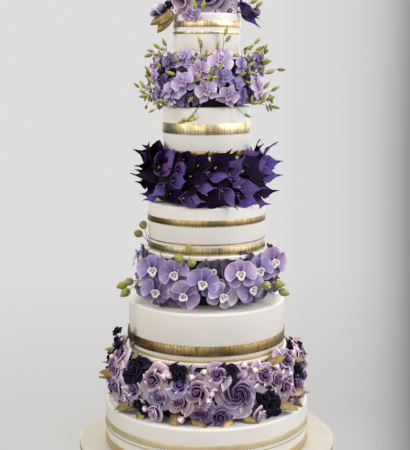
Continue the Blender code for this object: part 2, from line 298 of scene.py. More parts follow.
def petal_paste(name, throat, edge_gain, edge_lift, shine, start, end, veins, dust):
    """Thin gum paste dusted with petal colour: dark in the throat from start to end of the petal's
    length, partly darker dust and partly painted shade, clear over the blade and pale along the rim as a
    painted highlight, with fine veins along the petal whose darker colour is partly painted shade in their
    creases, the clouds of a dusting brush some 13 mm across and a soft, dry sheen."""
    made, tree, shader = new_material(name, 0.55, Specular_IOR_Level=shine)
    body = add_node(tree, "ShaderNodeAttribute", attribute_name="tint").outputs["Color"]
    uv = add_node(tree, "ShaderNodeUVMap", uv_map="UVMap").outputs["UV"]
    split = add_node(tree, "ShaderNodeSeparateXYZ", {"Vector": uv})
    # the dark foot, partly darker dust and partly painted shade, and the clear blade
    foot = add_node(tree, "ShaderNodeMix", {0: 1.0, 6: body, 7: rgba(throat)}, **MULTIPLIED)
    far = add_node(tree, "ShaderNodeValToRGB", {"Fac": split.outputs["Y"]}, ((start, 0.0), (end, 1.0)))
    blade = add_node(tree, "ShaderNodeMix", {0: far.outputs["Color"], 6: foot.outputs[2], 7: body}, **MIXED)
    # the pale rim: a painted highlight
    gain = add_node(tree, "ShaderNodeMix", {0: 1.0, 6: body, 7: (edge_gain, edge_gain, edge_gain, 1.0)},
                    **MULTIPLIED)
    pale = add_node(tree, "ShaderNodeMix",
                    {0: 1.0, 6: gain.outputs[2], 7: (edge_lift, edge_lift, edge_lift, 1.0)}, **ADDED)
    centred = add_node(tree, "ShaderNodeMath", {0: split.outputs["X"], 1: 0.5}, operation="SUBTRACT")
    across = add_node(tree, "ShaderNodeMath", {0: centred.outputs[0]}, operation="ABSOLUTE")
    side = add_node(tree, "ShaderNodeMath", {0: across.outputs[0], 1: 2.0}, operation="MULTIPLY")
    rim = add_node(tree, "ShaderNodeMath", {0: split.outputs["Y"], 1: side.outputs[0]}, operation="MAXIMUM")
    outer = add_node(tree, "ShaderNodeValToRGB", {"Fac": rim.outputs[0]}, ((0.76, 0.0), (0.96, 1.0)))
    edged = add_node(tree, "ShaderNodeMix",
                     {0: outer.outputs["Color"], 6: blade.outputs[2], 7: pale.outputs[2]}, **MIXED)
    # the veins, darker partly as painted shade in their creases
    streaks = add_node(tree, "ShaderNodeMapping", {"Vector": uv, "Scale": (16.0, 1.6, 1.0)})
    vein = add_node(tree, "ShaderNodeTexNoise", {"Vector": streaks.outputs["Vector"], "Scale": 1.0})
    line = add_node(tree, "ShaderNodeValToRGB", {"Fac": vein.outputs["Fac"]}, ((0.42, veins), (0.58, 0.0)))
    vein_dust_and_shade = add_node(tree, "ShaderNodeMix", {0: 1.0, 6: edged.outputs[2], 7: (0.50, 0.44, 0.54, 1.0)},
                     **MULTIPLIED)
    veined = add_node(tree, "ShaderNodeMix",
                      {0: line.outputs["Color"], 6: edged.outputs[2], 7: vein_dust_and_shade.outputs[2]}, **MIXED)
    # the clouds of dust
    cloud = cloudy(tree, 13 * MM, 3.0)
    laid = add_node(tree, "ShaderNodeValToRGB", {"Fac": cloud}, ((0.36, dust), (0.60, 0.0)))
    dark = add_node(tree, "ShaderNodeMix", {0: 1.0, 6: veined.outputs[2], 7: (0.52, 0.42, 0.54, 1.0)},
                    **MULTIPLIED)
    dusted = add_node(tree, "ShaderNodeMix",
                      {0: laid.outputs["Color"], 6: veined.outputs[2], 7: dark.outputs[2]}, **MIXED)
    surface(tree, shader, dusted.outputs[2], vein.outputs["Fac"], 0.25 * MM, 0.5)
    return made


def lustre_leaf(name, colour, edge):
    """Gum-paste leaves brushed with olive gold lustre dust: a dull metal glint, blotched, with
    darker dry edges."""
    made, tree, shader = new_material(name, 0.42, 0.35)
    uv = add_node(tree, "ShaderNodeUVMap", uv_map="UVMap")
    split = add_node(tree, "ShaderNodeSeparateXYZ", {"Vector": uv.outputs["UV"]})
    centred = add_node(tree, "ShaderNodeMath", {0: split.outputs["X"], 1: 0.5}, operation="SUBTRACT")
    across = add_node(tree, "ShaderNodeMath", {0: centred.outputs[0]}, operation="ABSOLUTE")
    blotch = cloudy(tree, 9 * MM, 3.0)
    laid = add_node(tree, "ShaderNodeValToRGB", {"Fac": blotch}, ((0.30, 0.35), (0.60, 1.0)))
    rough = add_node(tree, "ShaderNodeMix", {0: laid.outputs["Color"], 6: rgba(edge), 7: rgba(colour)},
                     **MIXED)
    dry = add_node(tree, "ShaderNodeValToRGB", {"Fac": across.outputs[0]}, ((0.40, 0.0), (0.50, 0.85)))
    edged = add_node(tree, "ShaderNodeMix", {0: dry.outputs["Color"], 6: rough.outputs[2], 7: rgba(edge)},
                     **MIXED)
    surface(tree, shader, edged.outputs[2], blotch, 0.4 * MM, 0.5)
    return made


def plain_paste(name, colour, roughness, spacing, relief, variation):
    """Coloured gum paste, mottled a little by the fingers that rolled it."""
    made, tree, shader = new_material(name, roughness)
    mottle = cloudy(tree, spacing, 2.0)
    dark = tuple(c * variation for c in colour[:3])
    clear = add_node(tree, "ShaderNodeValToRGB", {"Fac": mottle}, ((0.35, 0.0), (0.65, 1.0)))
    tone = add_node(tree, "ShaderNodeMix", {0: clear.outputs["Color"], 6: rgba(dark), 7: rgba(colour)},
                    **MIXED)
    surface(tree, shader, tone.outputs[2], mottle, relief, 0.6)
    return made


def tinted_paste(name, roughness, dark_share):
    """Buds and stems of gum paste whose colour comes from the piece's own tint, with darker mottles
    some 5 mm apart."""
    made, tree, shader = new_material(name, roughness, Subsurface_Weight=0.08, Subsurface_Scale=0.002)
    body = add_node(tree, "ShaderNodeAttribute", attribute_name="tint").outputs["Color"]
    mottle = cloudy(tree, 5 * MM, 2.0)
    dark = add_node(tree, "ShaderNodeMix",
                    {0: 1.0, 6: body, 7: (dark_share, dark_share, dark_share * 0.8, 1.0)}, **MULTIPLIED)
    clear = add_node(tree, "ShaderNodeValToRGB", {"Fac": mottle}, ((0.40, 0.0), (0.60, 1.0)))
    tone = add_node(tree, "ShaderNodeMix", {0: clear.outputs["Color"], 6: dark.outputs[2], 7: body}, **MIXED)
    surface(tree, shader, tone.outputs[2], mottle, 0.2 * MM, 0.4)
    return made


# ================================================================ sheets, tubes and turned pieces
def sheet(name, columns, rows, shape, thickness, finish_with, shade=1.0):
    """A rolled sheet of paste: a grid shaped by shape(u, v), u from -1 to 1 across and v from 0 to
    1 along, given its thickness."""
    bpy.ops.object.select_all(action="DESELECT")
    bpy.ops.mesh.primitive_grid_add(x_subdivisions=columns, y_subdivisions=rows, size=2)
    piece = bpy.context.view_layer.objects.active
    piece.name = name
    mesh = piece.data
    points = np.empty(len(mesh.vertices) * 3, np.float32)
    mesh.vertices.foreach_get("co", points)
    points = points.reshape(-1, 3)
    x, y, z = shape(points[:, 0].copy(), (points[:, 1].copy() + 1) / 2)
    shaped = np.stack([x, y, z], axis=1).astype(np.float32)
    mesh.vertices.foreach_set("co", shaped.ravel())
    solid = piece.modifiers.new("thickness", "SOLIDIFY")
    solid.thickness = thickness
    solid.offset = 0.0
    solid.use_even_offset = False
    apply_modifiers(piece)
    bpy.ops.object.shade_smooth_by_angle(angle=math.radians(80))
    mesh.materials.append(finish_with)
    tint(mesh, deep(shade))
    return piece


def tube(name, points, radius, finish_with):
    """A smooth stem through points, of even thickness and closed at its ends."""
    path = bpy.data.curves.new(name, "CURVE")
    path.dimensions = "3D"
    path.bevel_depth = radius
    path.bevel_resolution = 1
    path.use_fill_caps = True
    path.resolution_u = 4
    line = path.splines.new("NURBS")
    line.points.add(len(points) - 1)
    for knot, point in zip(line.points, points):
        knot.co = (*point, 1.0)
        knot.radius = 1.0
    line.use_endpoint_u = True
    line.order_u = 3
    piece = bpy.data.objects.new(name, path)
    bpy.context.scene.collection.objects.link(piece)
    take(piece)
    bpy.ops.object.convert(target="MESH")
    piece = bpy.context.view_layer.objects.active
    bpy.ops.object.shade_smooth()
    if not piece.data.uv_layers:
        piece.data.uv_layers.new(name="UVMap")
    piece.data.materials.clear()
    piece.data.materials.append(finish_with)
    tint(piece.data, UNTINTED)
    return piece


def ball(name, radius, finish_with, segments=12, rings=8, stretch=(1, 1, 1), at=(0, 0, 0), shade=1.0):
    """A rounded knob, stretched along its axes."""
    bpy.ops.object.select_all(action="DESELECT")
    bpy.ops.mesh.primitive_uv_sphere_add(segments=segments, ring_count=rings, radius=radius)
    piece = bpy.context.view_layer.objects.active
    piece.name = name
    piece.data.transform(Matrix.Translation(Vector(at)) @ Matrix.Diagonal((*stretch, 1.0)))
    bpy.ops.object.shade_smooth()
    piece.data.materials.append(finish_with)
    tint(piece.data, (shade, shade, shade))
    return piece


def drum(name, radius, base, height, edge_round, finish_with, sides=144):
    """A round cake or board: a cylinder whose upper rim is bevelled round, and its lower rim a
    quarter as much."""
    bpy.ops.object.select_all(action="DESELECT")
    bpy.ops.mesh.primitive_cylinder_add(vertices=sides, radius=radius, depth=height,
                                        location=(0, 0, base + height / 2))
    piece = bpy.context.view_layer.objects.active
    piece.name = name
    take(piece)
    bpy.ops.object.transform_apply(location=True, rotation=True, scale=True)
    select_edges(piece, lambda a, b: min(a.z, b.z) > base + height * 0.9)
    bpy.ops.object.mode_set(mode="EDIT")
    bpy.ops.mesh.bevel(offset=edge_round, segments=5, affect="EDGES")
    bpy.ops.object.mode_set(mode="OBJECT")
    select_edges(piece, lambda a, b: max(a.z, b.z) < base + height * 0.1)
    bpy.ops.object.mode_set(mode="EDIT")
    bpy.ops.mesh.bevel(offset=edge_round * 0.25, segments=2, affect="EDGES")
    bpy.ops.object.mode_set(mode="OBJECT")
    bpy.ops.object.shade_smooth_by_angle(angle=math.radians(40))
    piece.data.materials.append(finish_with)
    return piece


def select_edges(piece, wanted):
    """Select only the edges whose two ends pass a test, in edge mode."""
    mesh = piece.data
    take(piece)
    bpy.ops.object.mode_set(mode="EDIT")
    bpy.ops.mesh.select_mode(type="EDGE")
    bpy.ops.mesh.select_all(action="DESELECT")
    bpy.ops.object.mode_set(mode="OBJECT")
    for edge in mesh.edges:
        a, b = (mesh.vertices[i].co for i in edge.vertices)
        edge.select = bool(wanted(a, b))


def hoop(name, inner, depth, base, width, finish_with, sides=192):
    """A ribbon round a tier: a thin wall with softened edges."""
    bpy.ops.object.select_all(action="DESELECT")
    bpy.ops.mesh.primitive_cylinder_add(vertices=sides, radius=inner + depth / 2, depth=width,
                                        end_fill_type="NOTHING", location=(0, 0, base + width / 2))
    piece = bpy.context.view_layer.objects.active
    piece.name = name
    bpy.ops.object.transform_apply(location=True, rotation=True, scale=True)
    wall = piece.modifiers.new("wall", "SOLIDIFY")
    wall.thickness = depth
    wall.offset = 0.0
    soft = piece.modifiers.new("soft edge", "BEVEL")
    soft.width = min(depth, width) * 0.3
    soft.segments = 2
    soft.limit_method = "ANGLE"
    apply_modifiers(piece)
    bpy.ops.object.shade_smooth_by_angle(angle=math.radians(40))
    piece.data.materials.append(finish_with)
    return piece


# ================================================================ flower shapes
def disc_sheet(width, length, narrow, cup, wave, point=0.0, phase=0.0, back=0.0):
    """A rounded petal lying along +Y: narrow at its foot, cupped, waved at the rim and drawn to a
    point. back bends its far end away from the viewer."""
    def shape(u, v):
        w = 2 * v - 1
        across = u * np.sqrt(1 - w * w / 2)
        along = w * np.sqrt(1 - u * u / 2)
        far = (along + 1) / 2
        waist = narrow + (1 - narrow) * smooth(0.0, 0.55, far)
        x = width * across * waist * (1 - point * smooth(0.55, 1.0, far))
        y = length * (far + 0.5 * point * smooth(0.7, 1.0, far) * (1 - np.abs(across)))
        edge = across ** 2 + (along * 0.8) ** 2
        z = cup * length * (across ** 2 * 0.8 + (far - 0.35) ** 2 * 0.6)
        z = z + wave * length * edge * np.sin(5.0 * np.arctan2(across, along) + phase)
        z = z - back * length * far ** 2
        return x, y, z
    return shape


def rose_petal(tip, height, half_angle, roll, point, skew, cup, phase=0.0):
    """One rose petal round the +Z axis of a rose of radius 1, centred on -Y. Its rim rolls back
    into a soft lip, its middle is drawn to a point, and skew winds the petals like a pinwheel.
    cup is 1 for a petal that stands up like a bowl and -1 for one that arches over."""
    half = math.radians(half_angle)

    def shape(u, t):
        v = t ** 0.65
        bulge = tip * (0.70 + 0.35 * cup)
        rise = height * (0.60 - 0.40 * cup)
        out = (1 - v) ** 2 * 0.06 + 2 * v * (1 - v) * bulge + v ** 2 * tip
        up = 2 * v * (1 - v) * rise + v ** 2 * height
        corner = np.abs(u) ** 1.6
        turn = smooth(0.70, 1.0, v) * math.radians(165)
        reach = roll * (0.65 + 0.70 * corner)
        peak = point * smooth(0.55, 1.0, v) * (1 - np.abs(u)) ** 1.5
        out = out + reach * np.sin(turn) + peak - 0.10 * tip * corner * v
        up = up - reach * (1 - np.cos(turn)) - 0.16 * height * corner * v
        up = up + 0.025 * np.sin(4.2 * u + phase) * v ** 2
        out = out * (1 - skew * u)
        angle = u * half * (0.35 + 0.65 * np.sin(math.pi / 2 * np.clip(v * 1.15, 0, 1)))
        return out * np.sin(angle), -out * np.cos(angle), up
    return shape


def rose_heart(radius, height, turns):
    """The rolled heart of a rose: one strip wound in a spiral and drawn in at the top."""
    def shape(u, v):
        along = (u + 1) / 2
        angle = -TAU * turns * along
        out = radius * (0.08 + 0.92 * along) * (1.05 - 0.25 * v ** 2)
        up = height * (0.20 + v * (0.80 - 0.12 * along))
        return out * np.cos(angle), out * np.sin(angle), up
    return shape


def bud_wrap(reach, half_angle, close):
    """One of the petals wrapped round a closed bud of radius 1 that stands on the origin."""
    half = math.radians(half_angle)

    def shape(u, v):
        turn = (0.04 + v * (close - 0.10 * np.abs(u) ** 2)) * math.pi
        out = np.sin(turn) * (1 + 0.06 * u)
        up = reach * (1 - np.cos(turn))
        angle = u * half + 0.5 * v
        return out * np.sin(angle), -out * np.cos(angle), up
    return shape


def leaf_blade(width, length, fold, arch, wave, phase):
    """A pointed leaf along +Y, folded on its midrib, arched and a little waved."""
    def shape(u, v):
        body = v ** 0.80 * (1 - v) ** 1.25 / (0.39 ** 0.80 * 0.61 ** 1.25)
        half = width * body + 0.02 * (1 - v) + 0.004
        x = u * half
        y = length * v
        z = -fold * np.abs(x) + arch * length * (v - v ** 2) * 4 * 0.5 - arch * length * v ** 2
        z = z + wave * np.abs(u) * np.sin(7 * v + phase + 1.5 * u)
        return x, y, z
    return shape


def pointed_bud(width):
    """The skin of a slim bud of length 1 along +Z, fullest below its middle, closed to a point."""
    def shape(u, v):
        out = width * np.sin(math.pi * v ** 0.75) ** 0.85 * (1 - 0.25 * v)
        angle = u * math.pi
        return out * np.sin(angle), -out * np.cos(angle), v
    return shape


def plump_bud(name, width, finish_with):
    """A closed bud of length 1 along +Z: three sepals meet in soft seams and a short point."""
    piece = ball(name, 0.5, finish_with, 12, 8, (1, 1, 1), (0, 0, 0.5))
    for vertex in piece.data.vertices:
        x, y, z = vertex.co
        angle = math.atan2(y, x)
        seam = 1 - 0.10 * abs(math.cos(1.5 * angle)) ** 6
        swell = 2 * width * seam * (1 - 0.25 * smooth(0.55, 1.0, z))
        vertex.co = (x * swell, y * swell, z + 0.10 * smooth(0.9, 1.0, z))
    return piece


def calla_spathe(width, lean, twist, tail):
    """A calla of length 1 along +Y, open to +Z: a rolled funnel that opens into a pointed blade
    whose edges turn back and whose tip is drawn out into a thin curled tail."""
    def shape(u, v):
        along_blade = np.clip(v / 0.96, 0.0, 1.0)
        body = along_blade ** 0.95 * (1 - along_blade) ** 1.10 / (0.4634 ** 0.95 * 0.5366 ** 1.10)
        half = width * body + 0.05 * (1 - v) + 0.009
        wrap = math.radians(150) * (1 - smooth(0.08, 0.50, v)) + math.radians(18)
        curve = half / wrap
        angle = u * wrap
        x = curve * np.sin(angle)
        y = -curve * (1 - np.cos(angle))
        back = smooth(0.45, 0.95, np.abs(u)) * smooth(0.30, 0.55, v)
        y = y + back * 0.30 * half
        y = y + lean * smooth(0.3, 1.0, v) ** 1.5
        x = x + twist * v ** 2
        along = v - 0.10 * smooth(0.5, 1.0, v) * np.abs(u)
        end = smooth(0.84, 1.0, v)
        along = along + tail * end
        y = y - tail * 0.7 * end ** 3
        return x, along, -y
    return shape


# ================================================================ flower templates
def rose_template(name, layers, heart, finish_with, grid=(7, 7), thickness=0.032):
    """A rose of radius 1 facing +Z. Each layer has a count, its petal's measures and its shade."""
    radius, height, turns, heart_shade = heart
    parts = []
    core = sheet(name, 24, 2, rose_heart(radius, height, turns), 0.045, finish_with, heart_shade)
    parts.append((core, AS_IT_STANDS, UNTINTED))
    made = [core]
    turn = 0.0
    for k, (count, *measures, shade) in enumerate(layers):
        petal = sheet(name, *grid, rose_petal(*measures, 1.7 * k), thickness, finish_with, shade)
        made.append(petal)
        for i in range(count):
            wobble = 1 + 0.06 * math.sin(5.1 * i + 2.3 * k)
            swell = 1 + 0.05 * math.sin(3.1 * i + 1.3 * k)
            angle = turn + TAU * i / count + 0.10 * math.sin(3.7 * i + k)
            place = Matrix.Rotation(angle, 4, "Z") @ Matrix.Diagonal((swell, swell, wobble, 1))
            parts.append((petal, place, UNTINTED))
        turn += 0.9 + 0.35 * k
    rose = gather(name, parts)
    discard(made)
    return rose


# For each layer of petals from the heart out: count, tip radius, height, half angle, roll of the
# rim, point, skew, cup, and shade
GARDEN_LAYERS = (
    (3, 0.13, 0.80, 85, 0.035, 0.00, 0.25, 1.0, 0.14),
    (4, 0.25, 0.82, 70, 0.050, 0.00, 0.30, 1.0, 0.20),
    (5, 0.37, 0.80, 62, 0.070, 0.01, 0.34, 0.9, 0.34),
    (5, 0.52, 0.74, 60, 0.090, 0.04, 0.36, 0.6, 0.56),
    (5, 0.68, 0.64, 58, 0.110, 0.09, 0.36, 0.3, 0.80),
    (6, 0.85, 0.48, 50, 0.120, 0.14, 0.34, -0.1, 0.96),
    (6, 1.00, 0.30, 42, 0.120, 0.22, 0.28, -0.5, 1.0),
)
ROSE_LAYERS = (
    (
        (3, 0.38, 0.84, 80, 0.080, 0.02, 0.22, 0.9, 0.34),
        (3, 0.66, 0.72, 64, 0.150, 0.14, 0.28, 0.5, 0.86),
        (4, 1.00, 0.42, 50, 0.180, 0.24, 0.28, -0.1, 1.0),
    ),
    (
        (2, 0.34, 0.92, 105, 0.090, 0.03, 0.22, 0.9, 0.34),
        (3, 0.60, 0.80, 70, 0.170, 0.18, 0.24, 0.5, 0.88),
        (3, 1.05, 0.50, 60, 0.230, 0.32, 0.24, -0.2, 1.0),
    ),
    (
        (3, 0.30, 0.82, 82, 0.060, 0.01, 0.25, 1.0, 0.26),
        (4, 0.47, 0.78, 66, 0.095, 0.04, 0.30, 0.8, 0.50),
        (4, 0.73, 0.64, 58, 0.140, 0.12, 0.32, 0.4, 0.88),
        (4, 1.00, 0.38, 54, 0.170, 0.22, 0.28, -0.2, 1.0),
    ),
)
# The rolled heart of each kind: radius, height, turns and shade
GARDEN_HEART = (0.10, 0.80, 2.0, 0.12)
ROSE_HEART = (0.24, 0.86, 2.0, 0.24)
CONE_HEART = (0.22, 1.16, 1.8, 0.7)
CONE_LAYERS = (
    (2, 0.34, 1.20, 110, 0.050, 0.04, 0.15, 0.9, 0.78),
    (3, 0.52, 1.06, 84, 0.110, 0.14, 0.20, 0.7, 0.96),
    (2, 0.84, 0.70, 74, 0.180, 0.26, 0.15, -0.2, 1.0),
)


def build_rose_templates(finish_with):
    """An open garden rose, three smaller roses, a half-open bud and a closed round bud."""
    garden = rose_template("garden", GARDEN_LAYERS, GARDEN_HEART, finish_with, (11, 10), 0.024)
    roses = [rose_template(f"rose_{k}", layers, ROSE_HEART, finish_with)
             for k, layers in enumerate(ROSE_LAYERS)]
    cone = rose_template("cone", CONE_LAYERS, CONE_HEART, finish_with)
    wrap = sheet("wrap", 6, 8, bud_wrap(1.06, 88, 0.97), 0.07, finish_with)
    # the bud's core is darkened to 0.45: painted shade inside the wrapped petals
    core = ball("core", 0.90, finish_with, 10, 7, (1, 1, 1.08), (0, 0, 1.04), 0.45)
    parts = [(core, AS_IT_STANDS, UNTINTED)]
    for k in range(3):
        parts.append((wrap, Matrix.Rotation(TAU * k / 3, 4, "Z"), UNTINTED))
    bud = gather("bud", parts)
    discard([wrap, core])
    return garden, roses, cone, bud


def build_moth_orchid_template(petal_finish, lip_finish, eye_finish, phase):
    """A moth orchid about 68 mm across facing +Z: three sepals behind two broad petals, and a
    white lip of four upright lobes round a speckled column."""
    # the sepals are darkened to 0.80: painted shade behind the petals
    sepal = sheet("sepal", 7, 7, disc_sheet(15.0 * MM, 31 * MM, 0.42, 0.16, 0.045, 0.05, phase, 0.10),
                  1.0 * MM, petal_finish, 0.80)
    petal = sheet("petal", 9, 8, disc_sheet(21.5 * MM, 33 * MM, 0.20, 0.26, 0.075, 0.0, phase + 1.1, 0.10),
                  1.0 * MM, petal_finish)
    lobe = sheet("lobe", 5, 6, disc_sheet(6.4 * MM, 12.5 * MM, 0.66, 0.55, 0.06, 0.0, phase), 1.6 * MM,
                 lip_finish)
    # the column is darkened to 0.85: painted shade in the lip's cup
    column = ball("column", 3.4 * MM, lip_finish, 8, 6, (1.0, 1.0, 1.5), (0, 1.0 * MM, 4.5 * MM), 0.85)
    eye = ball("eye", 1.8 * MM, eye_finish, 6, 5, (1.0, 1.3, 0.8))
    parts = []
    for degrees in (0, 126, -130):
        spin = Matrix.Rotation(math.radians(degrees), 4, "Z")
        parts.append((sepal, spin @ Matrix.Translation((0, 2.0 * MM, -2.4 * MM)), UNTINTED))
    for degrees in (66, -72):
        spin = Matrix.Rotation(math.radians(degrees), 4, "Z")
        parts.append((petal, spin @ Matrix.Translation((0, 2.5 * MM, 1.3 * MM)), UNTINTED))
    # each lip lobe: degrees round the flower, how steeply it stands, and its size
    for degrees, stand, size in ((80, 52, 1.05), (-84, 55, 1.05), (176, 40, 1.05), (14, 66, 0.8)):
        spin = Matrix.Rotation(math.radians(degrees), 4, "Z")
        lift = Matrix.Rotation(math.radians(stand), 4, "X") @ Matrix.Scale(size, 4)
        parts.append((lobe, spin @ Matrix.Translation((0, 3.2 * MM, 1.2 * MM)) @ lift, UNTINTED))
    parts.append((column, AS_IT_STANDS, UNTINTED))
    for x, y, z in ((-4.2, -1.4, 4.4), (4.0, -2.2, 4.6), (0.8, -5.2, 5.2), (-1.6, 4.6, 7.4), (2.6, 3.4, 6.8)):
        parts.append((eye, Matrix.Translation((x * MM, y * MM, z * MM)), UNTINTED))
    orchid = gather("moth_orchid", parts)
    discard([sepal, petal, lobe, column, eye])
    return orchid


def build_small_orchid_template(petal_finish, throat_finish):
    """A small spray orchid about 48 mm across facing +Z: three sepals, two broad petals and a
    peach throat above a short lip."""
    # the sepals are darkened to 0.92: painted shade behind the petals
    sepal = sheet("sepal", 6, 6, disc_sheet(10.0 * MM, 22 * MM, 0.40, 0.18, 0.050, 0.40, 0.3, 0.12),
                  0.9 * MM, petal_finish, 0.92)
    petal = sheet("petal", 7, 7, disc_sheet(12.8 * MM, 22 * MM, 0.26, 0.24, 0.080, 0.14, 0.9, 0.08),
                  0.9 * MM, petal_finish)
    lip = sheet("lip", 6, 5, disc_sheet(7.0 * MM, 11 * MM, 0.60, 0.9, 0.06), 0.9 * MM, petal_finish)
    throat = ball("throat", 3.4 * MM, throat_finish, 8, 6, (1.0, 1.3, 0.7), (0, -1.0 * MM, 2.6 * MM))
    parts = []
    for degrees in (0, 132, -132):
        spin = Matrix.Rotation(math.radians(degrees), 4, "Z")
        parts.append((sepal, spin @ Matrix.Translation((0, 1.0 * MM, -2.0 * MM)), UNTINTED))
    for degrees in (68, -68):
        spin = Matrix.Rotation(math.radians(degrees), 4, "Z")
        parts.append((petal, spin @ Matrix.Translation((0, 1.0 * MM, 1.2 * MM)), UNTINTED))
    for degrees, stand in ((180, 38), (88, 62), (-88, 62)):
        spin = Matrix.Rotation(math.radians(degrees), 4, "Z")
        lift = Matrix.Rotation(math.radians(stand), 4, "X") @ Matrix.Scale(0.9 if stand < 50 else 0.65, 4)
        parts.append((lip, spin @ Matrix.Translation((0, 1.5 * MM, 1.0 * MM)) @ lift, (1.10, 0.98, 0.96)))
    parts.append((throat, AS_IT_STANDS, UNTINTED))
    orchid = gather("small_orchid", parts)
    discard([sepal, petal, lip, throat])
    return orchid


# ================================================================ settings
class CakeSizes(bpy.types.PropertyGroup):
    """Sizes that a decorator would change."""
    fondant_round: FloatProperty(
        name="Fondant Edge", description="Rounding of each tier's upper edge",
        default=6.5 * MM, min=1 * MM, unit="LENGTH")
    bead_pitch: FloatProperty(
        name="Bead Pitch", description="Distance from bead to bead along a ribbon",
        default=8.6 * MM, min=3 * MM, unit="LENGTH")
    bead_size: FloatProperty(
        name="Bead Size", description="Diameter of a bead",
        default=3.0 * MM, min=1 * MM, unit="LENGTH")
    calla_columns: IntProperty(
        name="Callas Per Row", description="Callas in each row round the back of the cake",
        default=11, min=4)
    seed: IntProperty(
        name="Arrangement", description="Chooses how the flowers behind are arranged", default=7)


class CakeColours(bpy.types.PropertyGroup):
    """Colours that a decorator would change."""
    fondant: FloatVectorProperty(
        name="Fondant", description="Colour of the tiers", subtype="COLOR", default=linear("EBE5DD"))
    board: FloatVectorProperty(
        name="Board", description="Colour of the board's covering", subtype="COLOR",
        default=linear("CDC3B4"))
    gold: FloatVectorProperty(
        name="Gold", description="Colour of the gold leaf", subtype="COLOR", default=linear("D3BB8C"))
    lilac: FloatVectorProperty(
        name="Lilac", description="Colour of most roses", subtype="COLOR", default=linear("EAD4E4"))
    pink: FloatVectorProperty(
        name="Pink", description="Colour of the pinkest roses", subtype="COLOR", default=linear("F6DADE"))
    blue: FloatVectorProperty(
        name="Blue", description="Colour of the bluest roses", subtype="COLOR", default=linear("DACFEA"))
    plum: FloatVectorProperty(
        name="Plum", description="Colour of the deeper roses", subtype="COLOR", default=linear("AA8CB6"))
    night: FloatVectorProperty(
        name="Night", description="Colour of the darkest roses", subtype="COLOR",
        default=linear("201034"))
    violet: FloatVectorProperty(
        name="Violet", description="Colour of the callas", subtype="COLOR", default=linear("6A5292"))
    plum_black: FloatVectorProperty(
        name="Plum Black", description="Colour of the dark callas", subtype="COLOR",
        default=linear("200F2C"))
    brass: FloatVectorProperty(
        name="Brass", description="Colour of the lustred leaves", subtype="COLOR",
        default=linear("A48A54"))
    bud_green: FloatVectorProperty(
        name="Bud Green", description="Colour of the green buds", subtype="COLOR",
        default=linear("AFAA58"))


_finishes = {}


def finishes():
    """The cake's materials, made once from the colours."""
    if _finishes:
        return _finishes
    colours = bpy.context.scene.cake_colours
    _finishes.update(
        fondant=rolled_fondant("rolled_fondant", colours.fondant),
        board=rolled_fondant("board_fondant", colours.board),
        gold=gold_leaf("gold_leaf", colours.gold),
        # the gold leaf made lighter and darker: painted reflection and painted shade on the ribbons
        pale_gold=gold_leaf("pale_gold_leaf", linear("F3DFB0")),
        antique_gold=gold_leaf("antique_gold_leaf", linear("B89B68")),
        lustre=gold_lustre("gold_lustre_paint", linear("CDB685")),
        pale_lustre=gold_lustre("pale_lustre_paint", linear("DECCA4")),
        rose=petal_paste("rose_gum_paste", throat=(0.06, 0.03, 0.09), edge_gain=1.35, edge_lift=0.03,
                         shine=0.08, start=0.44, end=0.90, veins=0.20, dust=0.25),
        orchid=petal_paste("orchid_gum_paste", throat=(0.32, 0.23, 0.46), edge_gain=1.10,
                           edge_lift=0.01, shine=0.15, start=0.0, end=0.90, veins=0.12, dust=0.20),
        calla=petal_paste("calla_gum_paste", throat=(0.10, 0.06, 0.16), edge_gain=1.20, edge_lift=0.0,
                          shine=0.05, start=0.20, end=0.65, veins=0.55, dust=0.60),
        lip=plain_paste("white_orchid_lip", linear("FBF6F5"), 0.45, 4 * MM, 0.2 * MM, 0.93),
        eye=plain_paste("orchid_eye", linear("8C7440"), 0.55, 2 * MM, 0.2 * MM, 0.5),
        throat=plain_paste("peach_throat", linear("DDA878"), 0.50, 3 * MM, 0.2 * MM, 0.75),
        spadix=plain_paste("gold_spadix", linear("A9843F"), 0.45, 1.5 * MM, 0.4 * MM, 0.6),
        # near-black paste of the garland banks and separators: painted shade in the gaps between the flowers
        core=plain_paste("dark_paste", linear("15101F"), 0.90, 12 * MM, 2.0 * MM, 0.5),
        leaf=lustre_leaf("olive_gold_lustre", colours.brass, linear("5E4D28")),
        bud=tinted_paste("green_bud_paste", 0.45, 0.62),
    )
    return _finishes


# ================================================================ the cake itself
def node_round(name):
    """A round CAD node's radius, base and top."""
    low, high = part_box(name)
    return (high.x - low.x) / 2, low.z, high.z


def build_board():
    """The covered round board and the ribbon round its edge."""
    looks = finishes()
    radius, base, top = node_round("base_board")
    piece = drum("covered_board", radius, base, top - base, 3 * MM, looks["board"], 192)
    finish(piece, "board_fondant", "base_board")
    outer, base, top = node_round("board_ribbon")
    # its gold leaf is the lighter copy: painted reflection
    ribbon = hoop("board_edge_ribbon", radius + 0.2 * MM, outer - radius - 0.2 * MM, base, top - base,
                  looks["pale_gold"], 224)
    finish(ribbon, "gold_leaf", "board_ribbon")


def build_tiers():
    """The five tiers and the thin plates under the upper four."""
    looks = finishes()
    rounding = bpy.context.scene.cake_sizes.fondant_round
    for n in range(1, 6):
        radius, base, top = node_round(f"tier_{n}")
        piece = drum(f"fondant_tier_{n}", radius, base, top - base, rounding, looks["fondant"])
        finish(piece, "fondant", f"tier_{n}")
    for n in range(2, 6):
        radius, base, top = node_round(f"plate_{n}")
        piece = drum(f"covered_plate_{n}", radius, base, top - base, (top - base) * 0.3, looks["fondant"])
        finish(piece, "fondant", f"plate_{n}")


